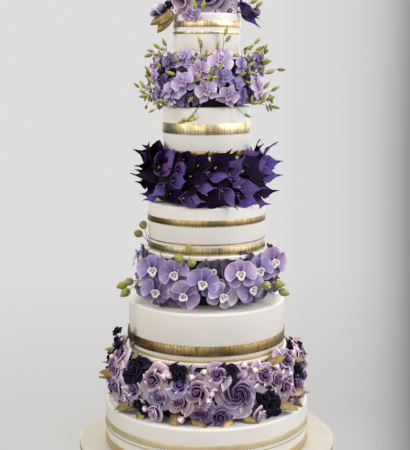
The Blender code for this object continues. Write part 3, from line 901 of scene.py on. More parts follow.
# The ribbons whose gilding is not the plain gold leaf; its lighter and darker copies stand for painted
# reflection and painted shade
GILDING = {
    "ribbon_1_upper": "pale_lustre",
    "ribbon_1_line": "lustre",
    "ribbon_1_base": "lustre",
    "ribbon_2_base": "lustre",
    "ribbon_2_wide": "antique_gold",
    "ribbon_3_upper": "antique_gold",
    "ribbon_3_line": "antique_gold",
    "ribbon_4_middle": "pale_gold",
    "ribbon_4_base": "antique_gold",
    "ribbon_5_upper": "pale_gold",
    "ribbon_5_line": "pale_gold",
    "ribbon_5_base": "pale_gold",
}


def build_ribbons():
    """Every gilded ribbon, from its tier's side to the CAD ribbon's face."""
    looks = finishes()
    for name in sorted(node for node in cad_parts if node.startswith("ribbon_")):
        tier = int(name.split("_")[1])
        inner = node_round(f"tier_{tier}")[0] + 0.1 * MM
        outer, base, top = node_round(name)
        gilt = looks[GILDING.get(name, "gold")]
        piece = hoop(f"gilded_{name}", inner, outer - inner, base, top - base, gilt)
        finish(piece, "gold_leaf", name)


# The ribbons with a row of beads, whether it runs along the upper or the lower edge, and its gilding, whose
# lighter and darker copies of the gold leaf are painted reflection and painted shade
BEADED = (
    ("ribbon_1_upper", "lower", "antique_gold"),
    ("ribbon_2_wide", "upper", "antique_gold"),
    ("ribbon_3_upper", "lower", "antique_gold"),
    ("ribbon_4_base", "upper", "antique_gold"),
    ("ribbon_5_upper", "upper", "pale_gold"),
)


def build_beads():
    """The rows of beads: one bead repeated round the ribbon's edge, half sunk in it."""
    looks = finishes()
    sizes = bpy.context.scene.cake_sizes
    for name, edge, gilding in BEADED:
        outer, base, top = node_round(name)
        height = top + 0.1 * sizes.bead_size if edge == "upper" else base - 0.1 * sizes.bead_size
        count = round(TAU * outer / sizes.bead_pitch)
        bead = ball(f"beads_{name}", sizes.bead_size / 2, looks[gilding], 8, 5, (0.75, 1.0, 1.0),
                    (outer - 0.25 * sizes.bead_size, 0, height))
        pivot = bpy.data.objects.new("bead_pivot", None)
        bpy.context.scene.collection.objects.link(pivot)
        pivot.rotation_euler = (0, 0, TAU / count)
        bpy.context.view_layer.update()
        row = bead.modifiers.new("row", "ARRAY")
        row.use_relative_offset = False
        row.use_object_offset = True
        row.offset_object = pivot
        row.count = count
        apply_modifiers(bead)
        bpy.data.objects.remove(pivot)
        finish(bead, "gold_leaf")


def build_separators():
    """The dark drums that stand between the tiers, inside the flowers, near black as painted shade."""
    looks = finishes()
    for n in range(1, 5):
        radius, base, top = node_round(f"separator_{n}")
        piece = drum(f"dark_separator_{n}", radius, base, top - base, 1.5 * MM, looks["core"], 96)
        finish(piece, "separator_paste", f"separator_{n}")


def garland_core(name, inner, outer, base, top, finish_with):
    """The dark paste bank that the flowers are stuck into, near black as painted shade in the gaps between
    them: a lumpy ring, fuller at its middle.
    """
    bpy.ops.object.select_all(action="DESELECT")
    middle = (inner + outer) / 2
    bpy.ops.mesh.primitive_torus_add(major_radius=middle, minor_radius=1.0, major_segments=120,
                                     minor_segments=16, location=(0, 0, (base + top) / 2))
    piece = bpy.context.view_layer.objects.active
    piece.name = name
    mesh = piece.data
    half_width = (outer - inner) / 2
    half_height = (top - base) / 2
    for vertex in mesh.vertices:
        x, y, z = vertex.co
        angle = math.atan2(y, x)
        reach = math.hypot(x, y) - middle
        lump = 1 + 0.10 * math.sin(9 * angle + 3 * z) + 0.07 * math.sin(23 * angle - 5 * z)
        reach = np.sign(reach) * abs(reach) ** 0.7 * half_width * (lump if reach > 0 else 1)
        vertex.co = ((middle + reach) * math.cos(angle), (middle + reach) * math.sin(angle),
                     np.sign(z) * abs(z) ** 0.6 * half_height)
    bpy.ops.object.transform_apply(location=True, rotation=True, scale=True)
    bpy.ops.object.shade_smooth()
    mesh.materials.append(finish_with)
    return piece


# ---------------------------------------------------------------- the rose garland
TONES = ("lilac", "pink", "blue", "plum", "night")
# The inner and outer radius of the bank that the roses are stuck into, and how far from the axis the
# open roses, the buds, the dark buds, the feet of the leaves and the garden rose sit, in metres
ROSE_BANK = (0.152, 0.200)
ROSE_REACH = 0.243
BUD_REACH = 0.244
DARK_BUD_REACH = 0.240
LEAF_REACH = 0.214
GARDEN_ROSE_REACH = 0.205
# The garland's middle height, in mm, where it bulges furthest
BULGE = 64.0
# Where the listed front ends on either side, in degrees
FRONT_END = 72.0
BACK_END = 292.0
# The roses pushed in behind: how many, how many degrees apart, and how deep in mm
ROSES_BEHIND = 38
BEHIND_STEP = 9.5
BEHIND_DEPTH = 16


def tone_of(name):
    """The colour of one of the roses' tones."""
    return tuple(getattr(bpy.context.scene.cake_colours, name))


# Roses on the front: degrees from the front, height above the tier in mm, radius in mm, tone,
# and which of the rose shapes
FRONT_ROSES = (
    (-64, 132, 27, "lilac", 1),
    (-66, 92, 26, "lilac", 2),
    (-64, 52, 27, "lilac", 1),
    (-44, 68, 28, "lilac", 1),
    (-31, 99, 31, "pink", 1),
    (-27, 63, 25, "blue", 1),
    (-15, 95, 25, "blue", 1),
    (-15, 60, 31, "pink", 2),
    (-5, 84, 34, "pink", 1),
    (-3, 36, 27, "plum", 2),
    (7, 20, 23, "plum", 0),
    (6, 119, 25, "lilac", 1),
    (34, 110, 28, "lilac", 1),
    (43, 92, 25, "pink", 2),
    (50, 70, 30, "pink", 1),
    (55, 126, 27, "lilac", 1),
    (64, 60, 26, "lilac", 0),
    (-47, 110, 30, "night", 2),
    (-40, 34, 23, "night", 0),
    (-17, 122, 21, "night", 0),
    (12, 122, 23, "night", 2),
    (35, 60, 26, "night", 2),
    (40, 30, 22, "night", 1),
    (66, 92, 26, "night", 0),
)
# Half-open lilac roses on the front: degrees, height above the tier in mm and size in mm
FRONT_CONES = ((-29, 21, 22), (31, 17, 20), (-50, 40, 18))
# Dark half-open buds, then round pale buds: degrees and height above the tier in mm
DARK_BUDS = ((-70, 172), (-68, 140), (46, 8), (88, 120), (-100, 120))
FRONT_BUDS = (
    (-24, 112), (-20, 117), (3, 82), (1, 64), (-8, 118), (-2, 128), (22, 138), (28, 128),
    (43, 122), (61, 136), (54, 92), (-14, 11), (-36, 26),
)
# Leaves: degrees, height above the tier in mm, length in mm, and how far each points outward,
# round the cake and up
FRONT_LEAVES = (
    (-66, 84, 62, 0.9, -0.8, -0.1), (-47, 34, 66, 0.7, -0.9, -0.4), (-41, 26, 50, 0.8, -0.1, -0.8),
    (-20, 26, 52, 0.7, 0.4, -0.8), (-9, 18, 48, 0.6, 0.9, -0.4), (15, 16, 48, 0.7, -0.7, -0.4),
    (22, 20, 46, 0.7, 0.8, -0.4), (46, 32, 62, 0.9, 0.8, -0.3), (62, 44, 54, 0.9, 0.6, -0.1),
    (-66, 150, 52, 0.3, 0.2, 0.9), (42, 124, 48, 0.5, 0.8, 0.3), (24, 118, 44, 0.5, 0.9, 0.2),
    (-12, 122, 40, 0.6, 0.3, 0.5), (66, 112, 44, 0.8, 0.5, 0.0), (-56, 134, 44, 0.5, 0.8, 0.1),
)


def rose_spots(rng):
    """Every rose in the garland: the front ones listed, the rest in staggered rows, and a row of
    others pushed in behind them."""
    spots = [(*spot, 0) for spot in FRONT_ROSES]
    rows = (26, 104, 66)
    angle = FRONT_END
    k = 0
    while angle < BACK_END:
        rise = rows[k % 3] + rng.uniform(-8, 8)
        tone = rng.choice(("lilac", "lilac", "pink", "blue", "plum", "lilac", "night"))
        spots.append((angle, rise, rng.uniform(24, 31), tone, rng.randrange(3), 0))
        angle += rng.uniform(4.6, 5.6)
        k += 1
    for k in range(ROSES_BEHIND):
        tone = ("night", "plum", "night", "lilac")[k % 4]
        rise = (36, 100, 72)[k % 3] + rng.uniform(-8, 8)
        spots.append((BEHIND_STEP * k + rng.uniform(-2, 2), rise, 27, tone, k % 3, BEHIND_DEPTH))
    return spots


def garland_spot(angle, rise, height, base, reach=ROSE_REACH):
    """The seat of a flower of a height on a garland that bulges at mid height, and its look."""
    lean = (rise - BULGE) / BULGE
    look = outward(angle, 24 * lean + 4)
    return around(reach - 0.012 * lean ** 2, angle, base + rise * MM) - look * height, look


def jitter(rng, amount):
    """A small random change to a direction, as of flowers set in by hand."""
    return Vector([rng.uniform(-amount, amount) for _ in range(3)])


def small_spots(rng):
    """The half-open roses, the round buds and the leaves: the front ones listed, the rest spread
    round the back."""
    cones = list(FRONT_CONES)
    buds = list(FRONT_BUDS)
    blades = list(FRONT_LEAVES)
    for k in range(9):
        cones.append((74 + 25 * k + rng.uniform(-6, 6), rng.choice((20, 44, 104)), 19))
    for k in range(26):
        buds.append((68 + 8.8 * k + rng.uniform(-4, 4), rng.uniform(14, 116)))
    for k in range(24):
        rise, up = ((16, -0.2), (114, 0.1), (62, 0.1))[k % 3]
        sway = rng.uniform(-0.8, 0.8)
        blades.append((74 + 9.2 * k, rise, rng.uniform(38, 50), 0.8, sway, up))
    return cones, buds, blades


def open_roses(roses, base, looks, rng):
    """The open sugar roses, one piece for each tone, and the ones pushed in behind them."""
    # those behind show little, so their petals are coarser
    behind = [rose_template(f"behind_{k}", layers, ROSE_HEART, looks["rose"], (5, 5), 0.04)
              for k, layers in enumerate(ROSE_LAYERS)]
    by_tone = {tone: [] for tone in TONES}
    for angle, rise, size, tone, kind, depth in rose_spots(rng):
        seat, look = garland_spot(angle, rise, (0.80 * size + depth) * MM, base)
        place = place_at(seat, look + jitter(rng, 0.18), rng.uniform(0, 360), size * MM)
        by_tone[tone].append(((behind if depth else roses)[kind], place, tone_of(tone)))
    for tone, parts in by_tone.items():
        finish(gather(f"{tone}_sugar_roses", parts), "rose_petal")
    discard(behind)


def rosebuds(cones, buds, cone, bud, base, rng):
    """The half-open roses, the round buds and the dark buds of the garland."""
    parts = []
    for angle, rise, size in cones:
        seat, look = garland_spot(angle, rise, 0.85 * size * MM, base)
        look = look + jitter(rng, 0.35)
        parts.append((cone, place_at(seat, look, rng.uniform(0, 360), size * MM), tone_of("lilac")))
    for angle, rise in buds:
        size = rng.uniform(7.5, 9.0)
        seat, look = garland_spot(angle, rise, 2.0 * size * MM, base, BUD_REACH)
        look = look + jitter(rng, 0.3)
        tone = tone_of(rng.choice(("pink", "pink", "lilac")))
        parts.append((bud, place_at(seat, look, rng.uniform(0, 360), size * MM), tone))
    for angle, rise in DARK_BUDS:
        seat, look = garland_spot(angle, min(rise, 118), 16 * MM, base, DARK_BUD_REACH)
        seat.z = base + rise * MM
        parts.append((cone, place_at(seat, look + Vector((0, 0, 0.5)), 40, 14 * MM), tone_of("night")))
    finish(gather("sugar_rosebuds", parts), "rose_petal")


def garland_leaves(blades, base, looks):
    """The lustred leaves that point out from between the roses."""
    leaves = [
        sheet("leaf", 5, 8, leaf_blade(0.27, 1.0, fold, arch, 0.03, phase), 0.025, looks["leaf"])
        for fold, arch, phase in ((0.40, 0.10, 0.0), (0.30, 0.16, 1.9))
    ]
    parts = []
    for k, (angle, rise, size, out, round_way, up) in enumerate(blades):
        seat = garland_spot(angle, rise, 0.0, base, LEAF_REACH)[0]
        along = mixed_way(angle, out, round_way, up)
        face = outward(angle, 50)
        parts.append((leaves[k % 2], place_along(seat, along, face, size * MM), UNTINTED))
    finish(gather("lustre_leaves", parts), "leaf_paste")
    discard(leaves)


def garden_rose(garden):
    """The one open garden rose at the front of the garland."""
    low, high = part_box("garden_rose")
    centre = (low + high) / 2
    angle = math.degrees(math.atan2(centre.x, -centre.y))
    seat = around(GARDEN_ROSE_REACH, angle, centre.z)
    place = place_at(seat, outward(angle - 4, 6), 20, 49 * MM)
    finish(gather("garden_rose_bloom", [(garden, place, tone_of("lilac"))]), "rose_petal", "garden_rose")


def build_rose_garland():
    """The first garland: roses, half-open roses, buds and leaves round a dark bank of paste."""
    looks = finishes()
    rng = random.Random(bpy.context.scene.cake_sizes.seed)
    low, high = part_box("rose_garland")
    base = low.z
    core = garland_core("rose_garland_core", *ROSE_BANK, base, high.z, looks["core"])
    finish(core, "separator_paste", "rose_garland")
    garden, roses, cone, bud = build_rose_templates(looks["rose"])
    open_roses(roses, base, looks, rng)
    cones, buds, blades = small_spots(rng)
    rosebuds(cones, buds, cone, bud, base, rng)
    garland_leaves(blades, base, looks)
    garden_rose(garden)
    discard([garden, cone, bud, *roses])


# ---------------------------------------------------------------- the moth orchids
def orchid_seats():
    """Each moth orchid's node, the angle it faces and its centre, read from the CAD node's lip."""
    seats = []
    for name in sorted(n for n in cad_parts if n.startswith("moth_orchid_")):
        points = [vertex.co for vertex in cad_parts[name].data.vertices]
        tip = max(points, key=lambda p: math.hypot(p.x, p.y))
        low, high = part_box(name)
        angle = math.degrees(math.atan2(tip.x, -tip.y))
        radius = math.hypot(tip.x, tip.y)
        seats.append((name, angle, radius, (low.z + high.z) / 2 - 1 * MM))
    return seats


# Orchids pushed in between the others: how far from the axis and with what share of their shade, at
# the front and at the back, then those of the front in degrees and in mm above the tier. The share darkens
# them as painted shade in the gaps.
TUCKED_FRONT = (0.151, 0.22)
TUCKED_BACK = (0.156, 0.7)
FRONT_TUCKED = (
    (-72, 98), (-58, 84), (-44, 92), (-46, 30), (-30, 40), (-24, 88), (-10, 64), (4, 88), (12, 66), (22, 92),
    (24, 44), (36, 96), (40, 40), (54, 84), (62, 40), (72, 70), (84, 96), (-76, 40),
)


# How the orchids on the front are turned: degrees round from straight out, degrees up, spin, shade
ORCHID_TURNS = {
    "moth_orchid_01": (36, 4, 8, 2),
    "moth_orchid_02": (40, -6, -6, 0),
    "moth_orchid_03": (20, 2, 25, 0),
    "moth_orchid_04": (10, -8, -45, 3),
    "moth_orchid_05": (4, -2, -15, 2),
    "moth_orchid_06": (8, -8, -20, 4),
    "moth_orchid_07": (-26, 14, 8, 1),
    "moth_orchid_08": (-4, -2, 25, 0),
    "moth_orchid_09": (-34, 6, 15, 2),
    "moth_orchid_10": (-30, 4, -20, 3),
    "moth_orchid_11": (-26, 0, 30, 2),
    "moth_orchid_12": (-16, 10, 0, 0),
    "moth_orchid_20": (22, 8, 10, 2),
    "moth_orchid_21": (-8, 0, 20, 0),
}


# The clusters of plump buds: the root's degrees and height in mm, then each tip's degrees, height in
# mm and distance from the axis in metres
ORCHID_BUDS = (
    (-97, 126, ((-80, 174, 0.150), (-88, 150, 0.160))),
    (-14, 100, ((-19, 124, 0.186), (-12, 143, 0.180), (-10, 116, 0.188))),
    (-62, 50, ((-70, 40, 0.206), (-60, 55, 0.204), (-64, 28, 0.206))),
    (50, 40, ((41, 58, 0.200), (53, 54, 0.204), (57, 34, 0.208))),
    (150, 80, ((144, 122, 0.180), (153, 140, 0.176))),
    (160, 40, ((154, 58, 0.200), (162, 40, 0.204), (167, 60, 0.198))),
    (196, 80, ((190, 128, 0.180), (199, 118, 0.184))),
    (226, 40, ((220, 50, 0.200), (228, 34, 0.204), (233, 56, 0.198))),
)


def orchid_buds(base, looks):
    """Plump green buds on bent stalks between the moth orchids."""
    plump = plump_bud("bud", 0.40, looks["bud"])
    green = tuple(bpy.context.scene.cake_colours.bud_green)
    bud = gather("bud", [(plump, AS_IT_STANDS, green)])
    discard([plump])
    parts, stalks = [], []
    for angle, rise, tips in ORCHID_BUDS:
        root = around(0.141 if rise > 100 else 0.160, angle, base + rise * MM)
        for k, (tip_angle, tip_rise, tip_radius) in enumerate(tips):
            tip = around(tip_radius, tip_angle, base + tip_rise * MM)
            bend = (root + tip) / 2 + Vector((0, 0, 5 * MM))
            way = (tip - bend).normalized()
            stalk = tube("stalk", [root, bend, tip - way * 9 * MM], 0.65 * MM, looks["bud"])
            stalks.append(stalk)
            parts.append((stalk, AS_IT_STANDS, linear("7F7F3A")))
            parts.append((bud, place_at(tip - way * 11 * MM, way, 40 * k, 25 * MM), UNTINTED))
    finish(gather("orchid_buds", parts), "leaf_paste")
    discard([bud, *stalks])


def build_moth_orchids():
    """The second garland: the moth orchids, others tucked in between and darkened as painted shade, and their
    round buds.
    """
    looks = finishes()
    rng = random.Random(bpy.context.scene.cake_sizes.seed + 1)
    orchids = [build_moth_orchid_template(looks["orchid"], looks["lip"], looks["eye"], phase)
               for phase in (0.4, 2.3, 4.1)]
    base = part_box("separator_2")[0].z
    shades = (linear("C2ACD0"), linear("D0BAD6"), linear("B8AAD4"), linear("C4A8C8"), linear("E2D6E8"))
    for k, (name, angle, radius, height) in enumerate(orchid_seats()):
        yaw, pitch, spin, shade = ORCHID_TURNS.get(name, (rng.uniform(-16, 16), rng.uniform(-6, 16),
                                                          rng.uniform(-60, 60), k % len(shades)))
        # how far the bloom's middle lies inside the CAD flower's lip
        depth = (10 if -50 < angle < 50 else 22 if 50 < angle < 70 else 28) * MM
        place = place_at(around(radius - depth, angle, height), outward(angle + yaw, pitch), spin,
                         rng.uniform(1.0, 1.08))
        bloom = gather(f"bloom_{name}", [(orchids[k % 3], place, shades[shade])])
        finish(bloom, "orchid_petal", name)

    spots = [(angle, rise, *TUCKED_FRONT) for angle, rise in FRONT_TUCKED]
    for k in range(17):
        angle = 88 + 11.5 * k + rng.uniform(-3, 3)
        spots.append((angle, (88, 36, 62)[k % 3] + rng.uniform(-5, 5), *TUCKED_BACK))
    tucked = []
    for k, (angle, rise, reach, shade) in enumerate(spots):
        look = outward(angle + rng.uniform(-24, 24), rng.uniform(-16, 20))
        place = place_at(around(reach, angle, base + rise * MM), look, rng.uniform(0, 360), 1.0)
        # the share darkens the tucked orchids: painted shade in the gaps
        tone = tuple(c * shade for c in shades[(2 * k) % len(shades)])
        tucked.append((orchids[k % 3], place, tone))
    finish(gather("tucked_orchids", tucked), "orchid_petal")
    discard(orchids)
    orchid_buds(base, looks)


# ---------------------------------------------------------------- the callas
# The callas on the front: the throat's degrees, height above the tier and distance from the axis in
# mm, the same for the tip, and whether it is a dark one
FRONT_CALLAS = (
    (-78, 97, 124, -61, 131, 168, 1), (-76, 99, 115, -46, 141, 140, 1), (-80, 90, 126, -69, 83, 172, 1),
    (-82, 60, 130, -84, 62, 180, 1), (-75, 47, 125, -60, 38, 160, 1), (-63, 35, 128, -60, 24, 170, 1),
    (-44, 44, 135, -52, 11, 160, 0), (-59, 80, 120, -29, 126, 150, 0), (-40, 89, 122, -21, 126, 142, 1),
    (-52, 72, 130, -45, 63, 158, 1), (-28, 82, 132, -14, 98, 160, 0), (-33, 57, 134, -14, 65, 160, 0),
    (-52, 90, 120, -46, 121, 150, 1), (-40, 15, 130, -39, 28, 155, 1), (-23, 18, 132, 1, 18, 150, 0),
    (-16, 66, 130, 6, 73, 150, 1), (-24, 104, 124, -7, 117, 146, 1), (-8, 92, 130, 2, 131, 140, 1),
    (8, 87, 130, 23, 132, 140, 1), (18, 87, 126, 29, 129, 140, 1), (-8, 46, 136, 10, 46, 154, 0),
    (1, 76, 128, 23, 72, 152, 0), (23, 61, 130, 40, 54, 150, 0), (31, 42, 134, 56, 41, 160, 0),
    (-1, 28, 130, 20, -1, 156, 1), (15, 36, 128, 28, -4, 158, 0), (32, 24, 130, 53, 2, 160, 0),
    (59, 29, 130, 76, 28, 170, 1), (69, 18, 124, 64, 14, 160, 0), (23, 72, 126, 33, 119, 150, 0),
    (42, 97, 122, 59, 120, 150, 0), (76, 93, 124, 69, 143, 165, 0), (70, 104, 116, 57, 147, 135, 1),
    (76, 100, 118, 63, 136, 145, 0), (80, 83, 126, 85, 89, 181, 0), (37, 75, 128, 57, 120, 156, 1),
    (70, 64, 126, 78, 63, 182, 0), (49, 60, 130, 64, 62, 164, 1), (-13, 18, 128, 7, 10, 150, 1),
    (-23, 43, 128, -6, 37, 150, 1), (-39, 25, 126, -23, 10, 150, 1), (-28, 63, 126, -11, 54, 146, 1),
    (8, 58, 124, 30, 60, 142, 1), (44, 38, 124, 62, 24, 152, 1), (50, 84, 122, 70, 104, 158, 0),
    (-64, 64, 124, -70, 50, 162, 1), (-66, 20, 122, -72, 6, 158, 0), (56, 8, 122, 72, -4, 158, 0),
)
# The rows of callas behind, from the bottom: height above the tier, distance of the throats from
# the axis, and height and distance of the tips, all in mm
CALLA_ROWS = ((14, 129, 4, 158), (38, 131, 34, 164), (62, 130, 66, 168), (86, 125, 112, 158))
# The throat's place along a calla, and the length of its tail, as shares of its length
THROAT = 0.20
TAIL = 0.12
# The inner and outer radius of the bank that the callas are stuck into, in metres
CALLA_BANK = (0.073, 0.122)


def calla_spots(rng, columns):
    """Every calla of the ring: those on the front listed, and the rest in leaning rows."""
    spots = list(FRONT_CALLAS)
    for row, (rise, reach, tip_rise, tip_reach) in enumerate(CALLA_ROWS):
        for k in range(columns):
            angle = 92 + 176 * (k + 0.5 * (row % 2)) / columns + rng.uniform(-3, 3)
            throat = (angle, rise + rng.uniform(-5, 5), reach)
            tip = (angle + rng.uniform(11, 21), tip_rise + rng.uniform(-12, 12),
                   tip_reach + rng.uniform(-6, 8))
            spots.append((*throat, *tip, rng.random() < 0.45))
    return spots


def build_callas():
    """The third garland: dark and violet callas that lean round the cake, each with its spadix."""
    looks = finishes()
    sizes = bpy.context.scene.cake_sizes
    colours = bpy.context.scene.cake_colours
    rng = random.Random(sizes.seed + 2)
    low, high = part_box("calla_garland")
    base = low.z
    core = garland_core("calla_garland_core", *CALLA_BANK, base, high.z, looks["core"])
    finish(core, "separator_paste")
    shapes = [
        sheet("spathe", 8, 11, calla_spathe(width, lean, twist, TAIL), 0.016, looks["calla"])
        for width, lean, twist in ((0.27, 0.06, 0.03), (0.30, 0.10, -0.05), (0.25, -0.04, 0.07))
    ]
    spadix = ball("spadix", 0.030, looks["spadix"], 8, 6, (1, 2.4, 1), (0, THROAT + 0.02, 0.065))
    violet = tuple(colours.violet)
    plum_black = tuple(colours.plum_black)
    spathes, spadices = [], []
    for angle, rise, reach, tip_angle, tip_rise, tip_reach, dark in calla_spots(rng, sizes.calla_columns):
        throat = around(reach * MM, angle, base + rise * MM)
        tip = around(tip_reach * MM, tip_angle, base + tip_rise * MM)
        along = (tip - throat).normalized()
        length = (tip - throat).length / (1 + TAIL - THROAT)
        face = outward(angle * 0.8 if abs(angle) < 90 else angle, 20) + jitter(rng, 0.25)
        place = place_along(throat - along * THROAT * length, along, face, length)
        broad = 1.30 if dark and tip_rise > 110 else 1.08
        place = place @ Matrix.Diagonal((broad, 1.0, 1.0, 1.0))
        tone = tuple(c * rng.uniform(0.85, 1.2) for c in (plum_black if dark else violet))
        spathes.append((shapes[rng.randrange(3)], place, tone))
        spadices.append((spadix, place, UNTINTED))
    finish(gather("calla_spathes", spathes), "calla_petal", "calla_garland")
    finish(gather("calla_spadices", spadices), "leaf_paste")
    discard([spadix, *shapes])


# ---------------------------------------------------------------- the small orchids and sprays
# The orchids on the front: degrees, height above the tier and distance from the axis in mm, the
# degrees they face and look up, spin, size and shade
FRONT_SPRAY_ORCHIDS = (
    (-40, 38, 120, -35, 15, 0, 1.05, 0), (-24, 53, 124, -10, 10, 30, 1.20, 0),
    (-7, 80, 116, -15, -5, 15, 1.12, 1), (0, 36, 128, 0, -5, 20, 1.12, 1),
    (15, 93, 112, 5, 15, -10, 1.30, 1), (18, 66, 116, 15, -20, 40, 1.05, 2),
    (23, 25, 122, 5, -10, -25, 1.05, 1), (61, 48, 130, 50, 10, 30, 1.05, 1),
    (42, 26, 118, 60, 0, 10, 0.95, 3), (-64, 65, 130, -70, 5, 0, 0.95, 0),
    (-57, 30, 128, -60, -10, 50, 0.90, 2), (-28, 109, 103, -30, 30, 10, 1.10, 0),
    (43, 92, 112, 55, 5, 0, 0.95, 2), (74, 103, 125, 60, 20, -20, 1.15, 3),
    (-57, 51, 112, -50, 0, 60, 1.00, 3), (22, 113, 98, 10, 35, 0, 1.00, 1),
    (-5, 103, 100, 0, 30, 70, 0.85, 0), (-48, 100, 110, -40, 10, 20, 0.95, 3),
    (36, 48, 112, 30, -5, 50, 0.95, 2), (-80, 46, 132, -80, 0, 0, 0.90, 3),
    (80, 73, 124, 75, 0, 40, 0.90, 2), (-16, 96, 108, -12, 10, 100, 0.90, 2),
    (76, 28, 120, 80, -5, 30, 1.00, 1), (-76, 92, 116, -84, 20, 30, 1.00, 1),
    (-28, 20, 108, -30, -10, 70, 0.90, 3), (-12, 22, 98, -16, 0, 20, 0.85, 3),
    (-46, 22, 116, -50, 0, 10, 0.90, 0), (34, 18, 100, 30, -10, 40, 0.85, 3),
)
# The sprays of buds on the front. First the root: degrees, height above the tier and distance from
# the axis in mm. Then each bud, placed the same way, with how many degrees it leans from upright
FRONT_SPRAYS = (
    ((-84, 25, 112), (-69, 49, 170, -40), (-61, 52, 165, -15), (-57, 43, 150, 100), (-65, 34, 160, -60),
     (-59, 25, 165, -100)),
    ((-84, 59, 110), (-59, 85, 155, -25), (-52, 94, 135, -15), (-56, 61, 150, -30)),
    ((-48, 6, 108), (-51, 10, 145, -110), (-46, 15, 140, -80), (-53, -8, 155, -120)),
    ((-9, 26, 118), (-16, 18, 130, -140)),
    ((-6, 9, 110), (-23, -30, 140, -100), (-20, -25, 138, -70), (-14, -19, 134, 60), (-13, -24, 135, -100)),
    ((32, 6, 110), (41, -18, 140, 120)),
    ((39, 6, 110), (46, 19, 140, -20), (50, 10, 146, 80), (56, 13, 150, 60), (67, 20, 158, 60),
     (75, -2, 164, 105), (59, 23, 150, 20)),
    ((84, 14, 108), (65, 49, 150, 30), (86, 40, 160, 50)),
    ((70, 71, 105), (55, 89, 150, 95), (60, 78, 165, 70), (70, 83, 180, 95), (62, 100, 155, 60)),
    ((49, 49, 108), (48, 96, 135, 50), (39, 74, 128, 60), (47, 76, 138, 100), (43, 55, 138, 110)),
    ((-4, 40, 114), (5, 83, 137, 40), (13, 92, 137, 55), (2, 66, 137, 10), (8, 67, 138, 95),
     (-8, 68, 137, -20)),
    ((-34, 72, 108), (-37, 76, 134, -70), (-34, 109, 122, -5)),
    ((-10, 92, 96), (-15, 111, 112, -60), (-4, 113, 112, 40)),
    ((-70, 91, 105), (-65, 125, 140, -70), (-65, 114, 145, -110), (-56, 135, 135, -50), (-50, 129, 130, -80),
     (-49, 144, 125, -15)),
    ((-9, 106, 90), (-9, 147, 98, -20), (-7, 139, 98, 10)),
    ((-5, 104, 92), (-1, 120, 100, 30)),
    ((15, 106, 92), (14, 136, 100, 0)),
    ((18, 106, 92), (26, 168, 98, 15), (29, 152, 100, 35)),
    ((63, 98, 96), (52, 133, 125, 45), (62, 148, 130, 35)),
    ((70, 96, 100), (57, 130, 140, 50), (53, 122, 140, 80)),
    ((84, 87, 106), (58, 105, 155, 70)),
    ((-37, 92, 100), (-38, 111, 112, 5)),
)
BUD_LENGTH = 21 * MM
STEM_GREEN = "77783A"
# The inner and outer radius of the bank under the sprays, and how far from the axis and with what
# share of their shade the orchids behind are set; that share darkens them as painted shade
SPRAY_BANK = (0.051, 0.084)
INNER_REACH = 0.094
INNER_SHADE = 0.36


def spray_places(rng):
    """Every spray of buds, with the degrees from which each is seen upright."""
    places = [(0, root, buds) for root, *buds in FRONT_SPRAYS]
    for k in range(16):
        angle = 98 + 164 * k / 15 + rng.uniform(-4, 4)
        rise = (30, 96, 62)[k % 3]
        spread = (angle + rng.uniform(-12, 12), (4, 124, 70)[k % 3], rng.uniform(134, 156))
        buds = [
            (spread[0] + rng.uniform(-7, 7), spread[1] + rng.uniform(-12, 12), spread[2] + rng.uniform(-8, 8),
             rng.uniform(-70, 70) if k % 3 else rng.uniform(80, 250))
            for _ in range(rng.randint(3, 5))
        ]
        places.append((angle, (angle, rise, 100), buds))
    return places


def build_sprays(base, looks, rng):
    """Slim pointed buds on thin stems that fork from one root."""
    green = tuple(bpy.context.scene.cake_colours.bud_green)
    skin = sheet("bud", 6, 7, pointed_bud(0.18), 0.05, looks["bud"])
    parts, stems = [], []
    for seen_from, (angle, rise, reach), buds in spray_places(rng):
        root = around(reach * MM, angle, base + rise * MM)
        centre = Vector((0, 0, 0))
        for bud_angle, bud_rise, bud_reach, _ in buds:
            centre += around(bud_reach * MM, bud_angle, base + bud_rise * MM) / len(buds)
        fork = root.lerp(centre, 0.55)
        for bud_angle, bud_rise, bud_reach, lean in buds:
            tilt = math.radians(lean)
            look = around(math.sin(tilt), seen_from + 90, math.cos(tilt)) + 0.3 * outward(bud_angle, 0)
            look.normalize()
            length = BUD_LENGTH * rng.uniform(0.85, 1.2)
            foot = around(bud_reach * MM, bud_angle, base + bud_rise * MM) - look * length / 2
            stem = tube("stem", [root, fork, foot - look * 6 * MM, foot], 0.55 * MM, looks["bud"])
            stems.append(stem)
            parts.append((stem, AS_IT_STANDS, linear(STEM_GREEN)))
            shade = rng.uniform(0.80, 1.20)
            tone = (green[0] * shade * rng.uniform(0.9, 1.15), green[1] * shade, green[2] * shade)
            parts.append((skin, place_at(foot, look, rng.uniform(0, 360), length), tone))
    finish(gather("bud_sprays", parts), "leaf_paste")
    discard([skin, *stems])


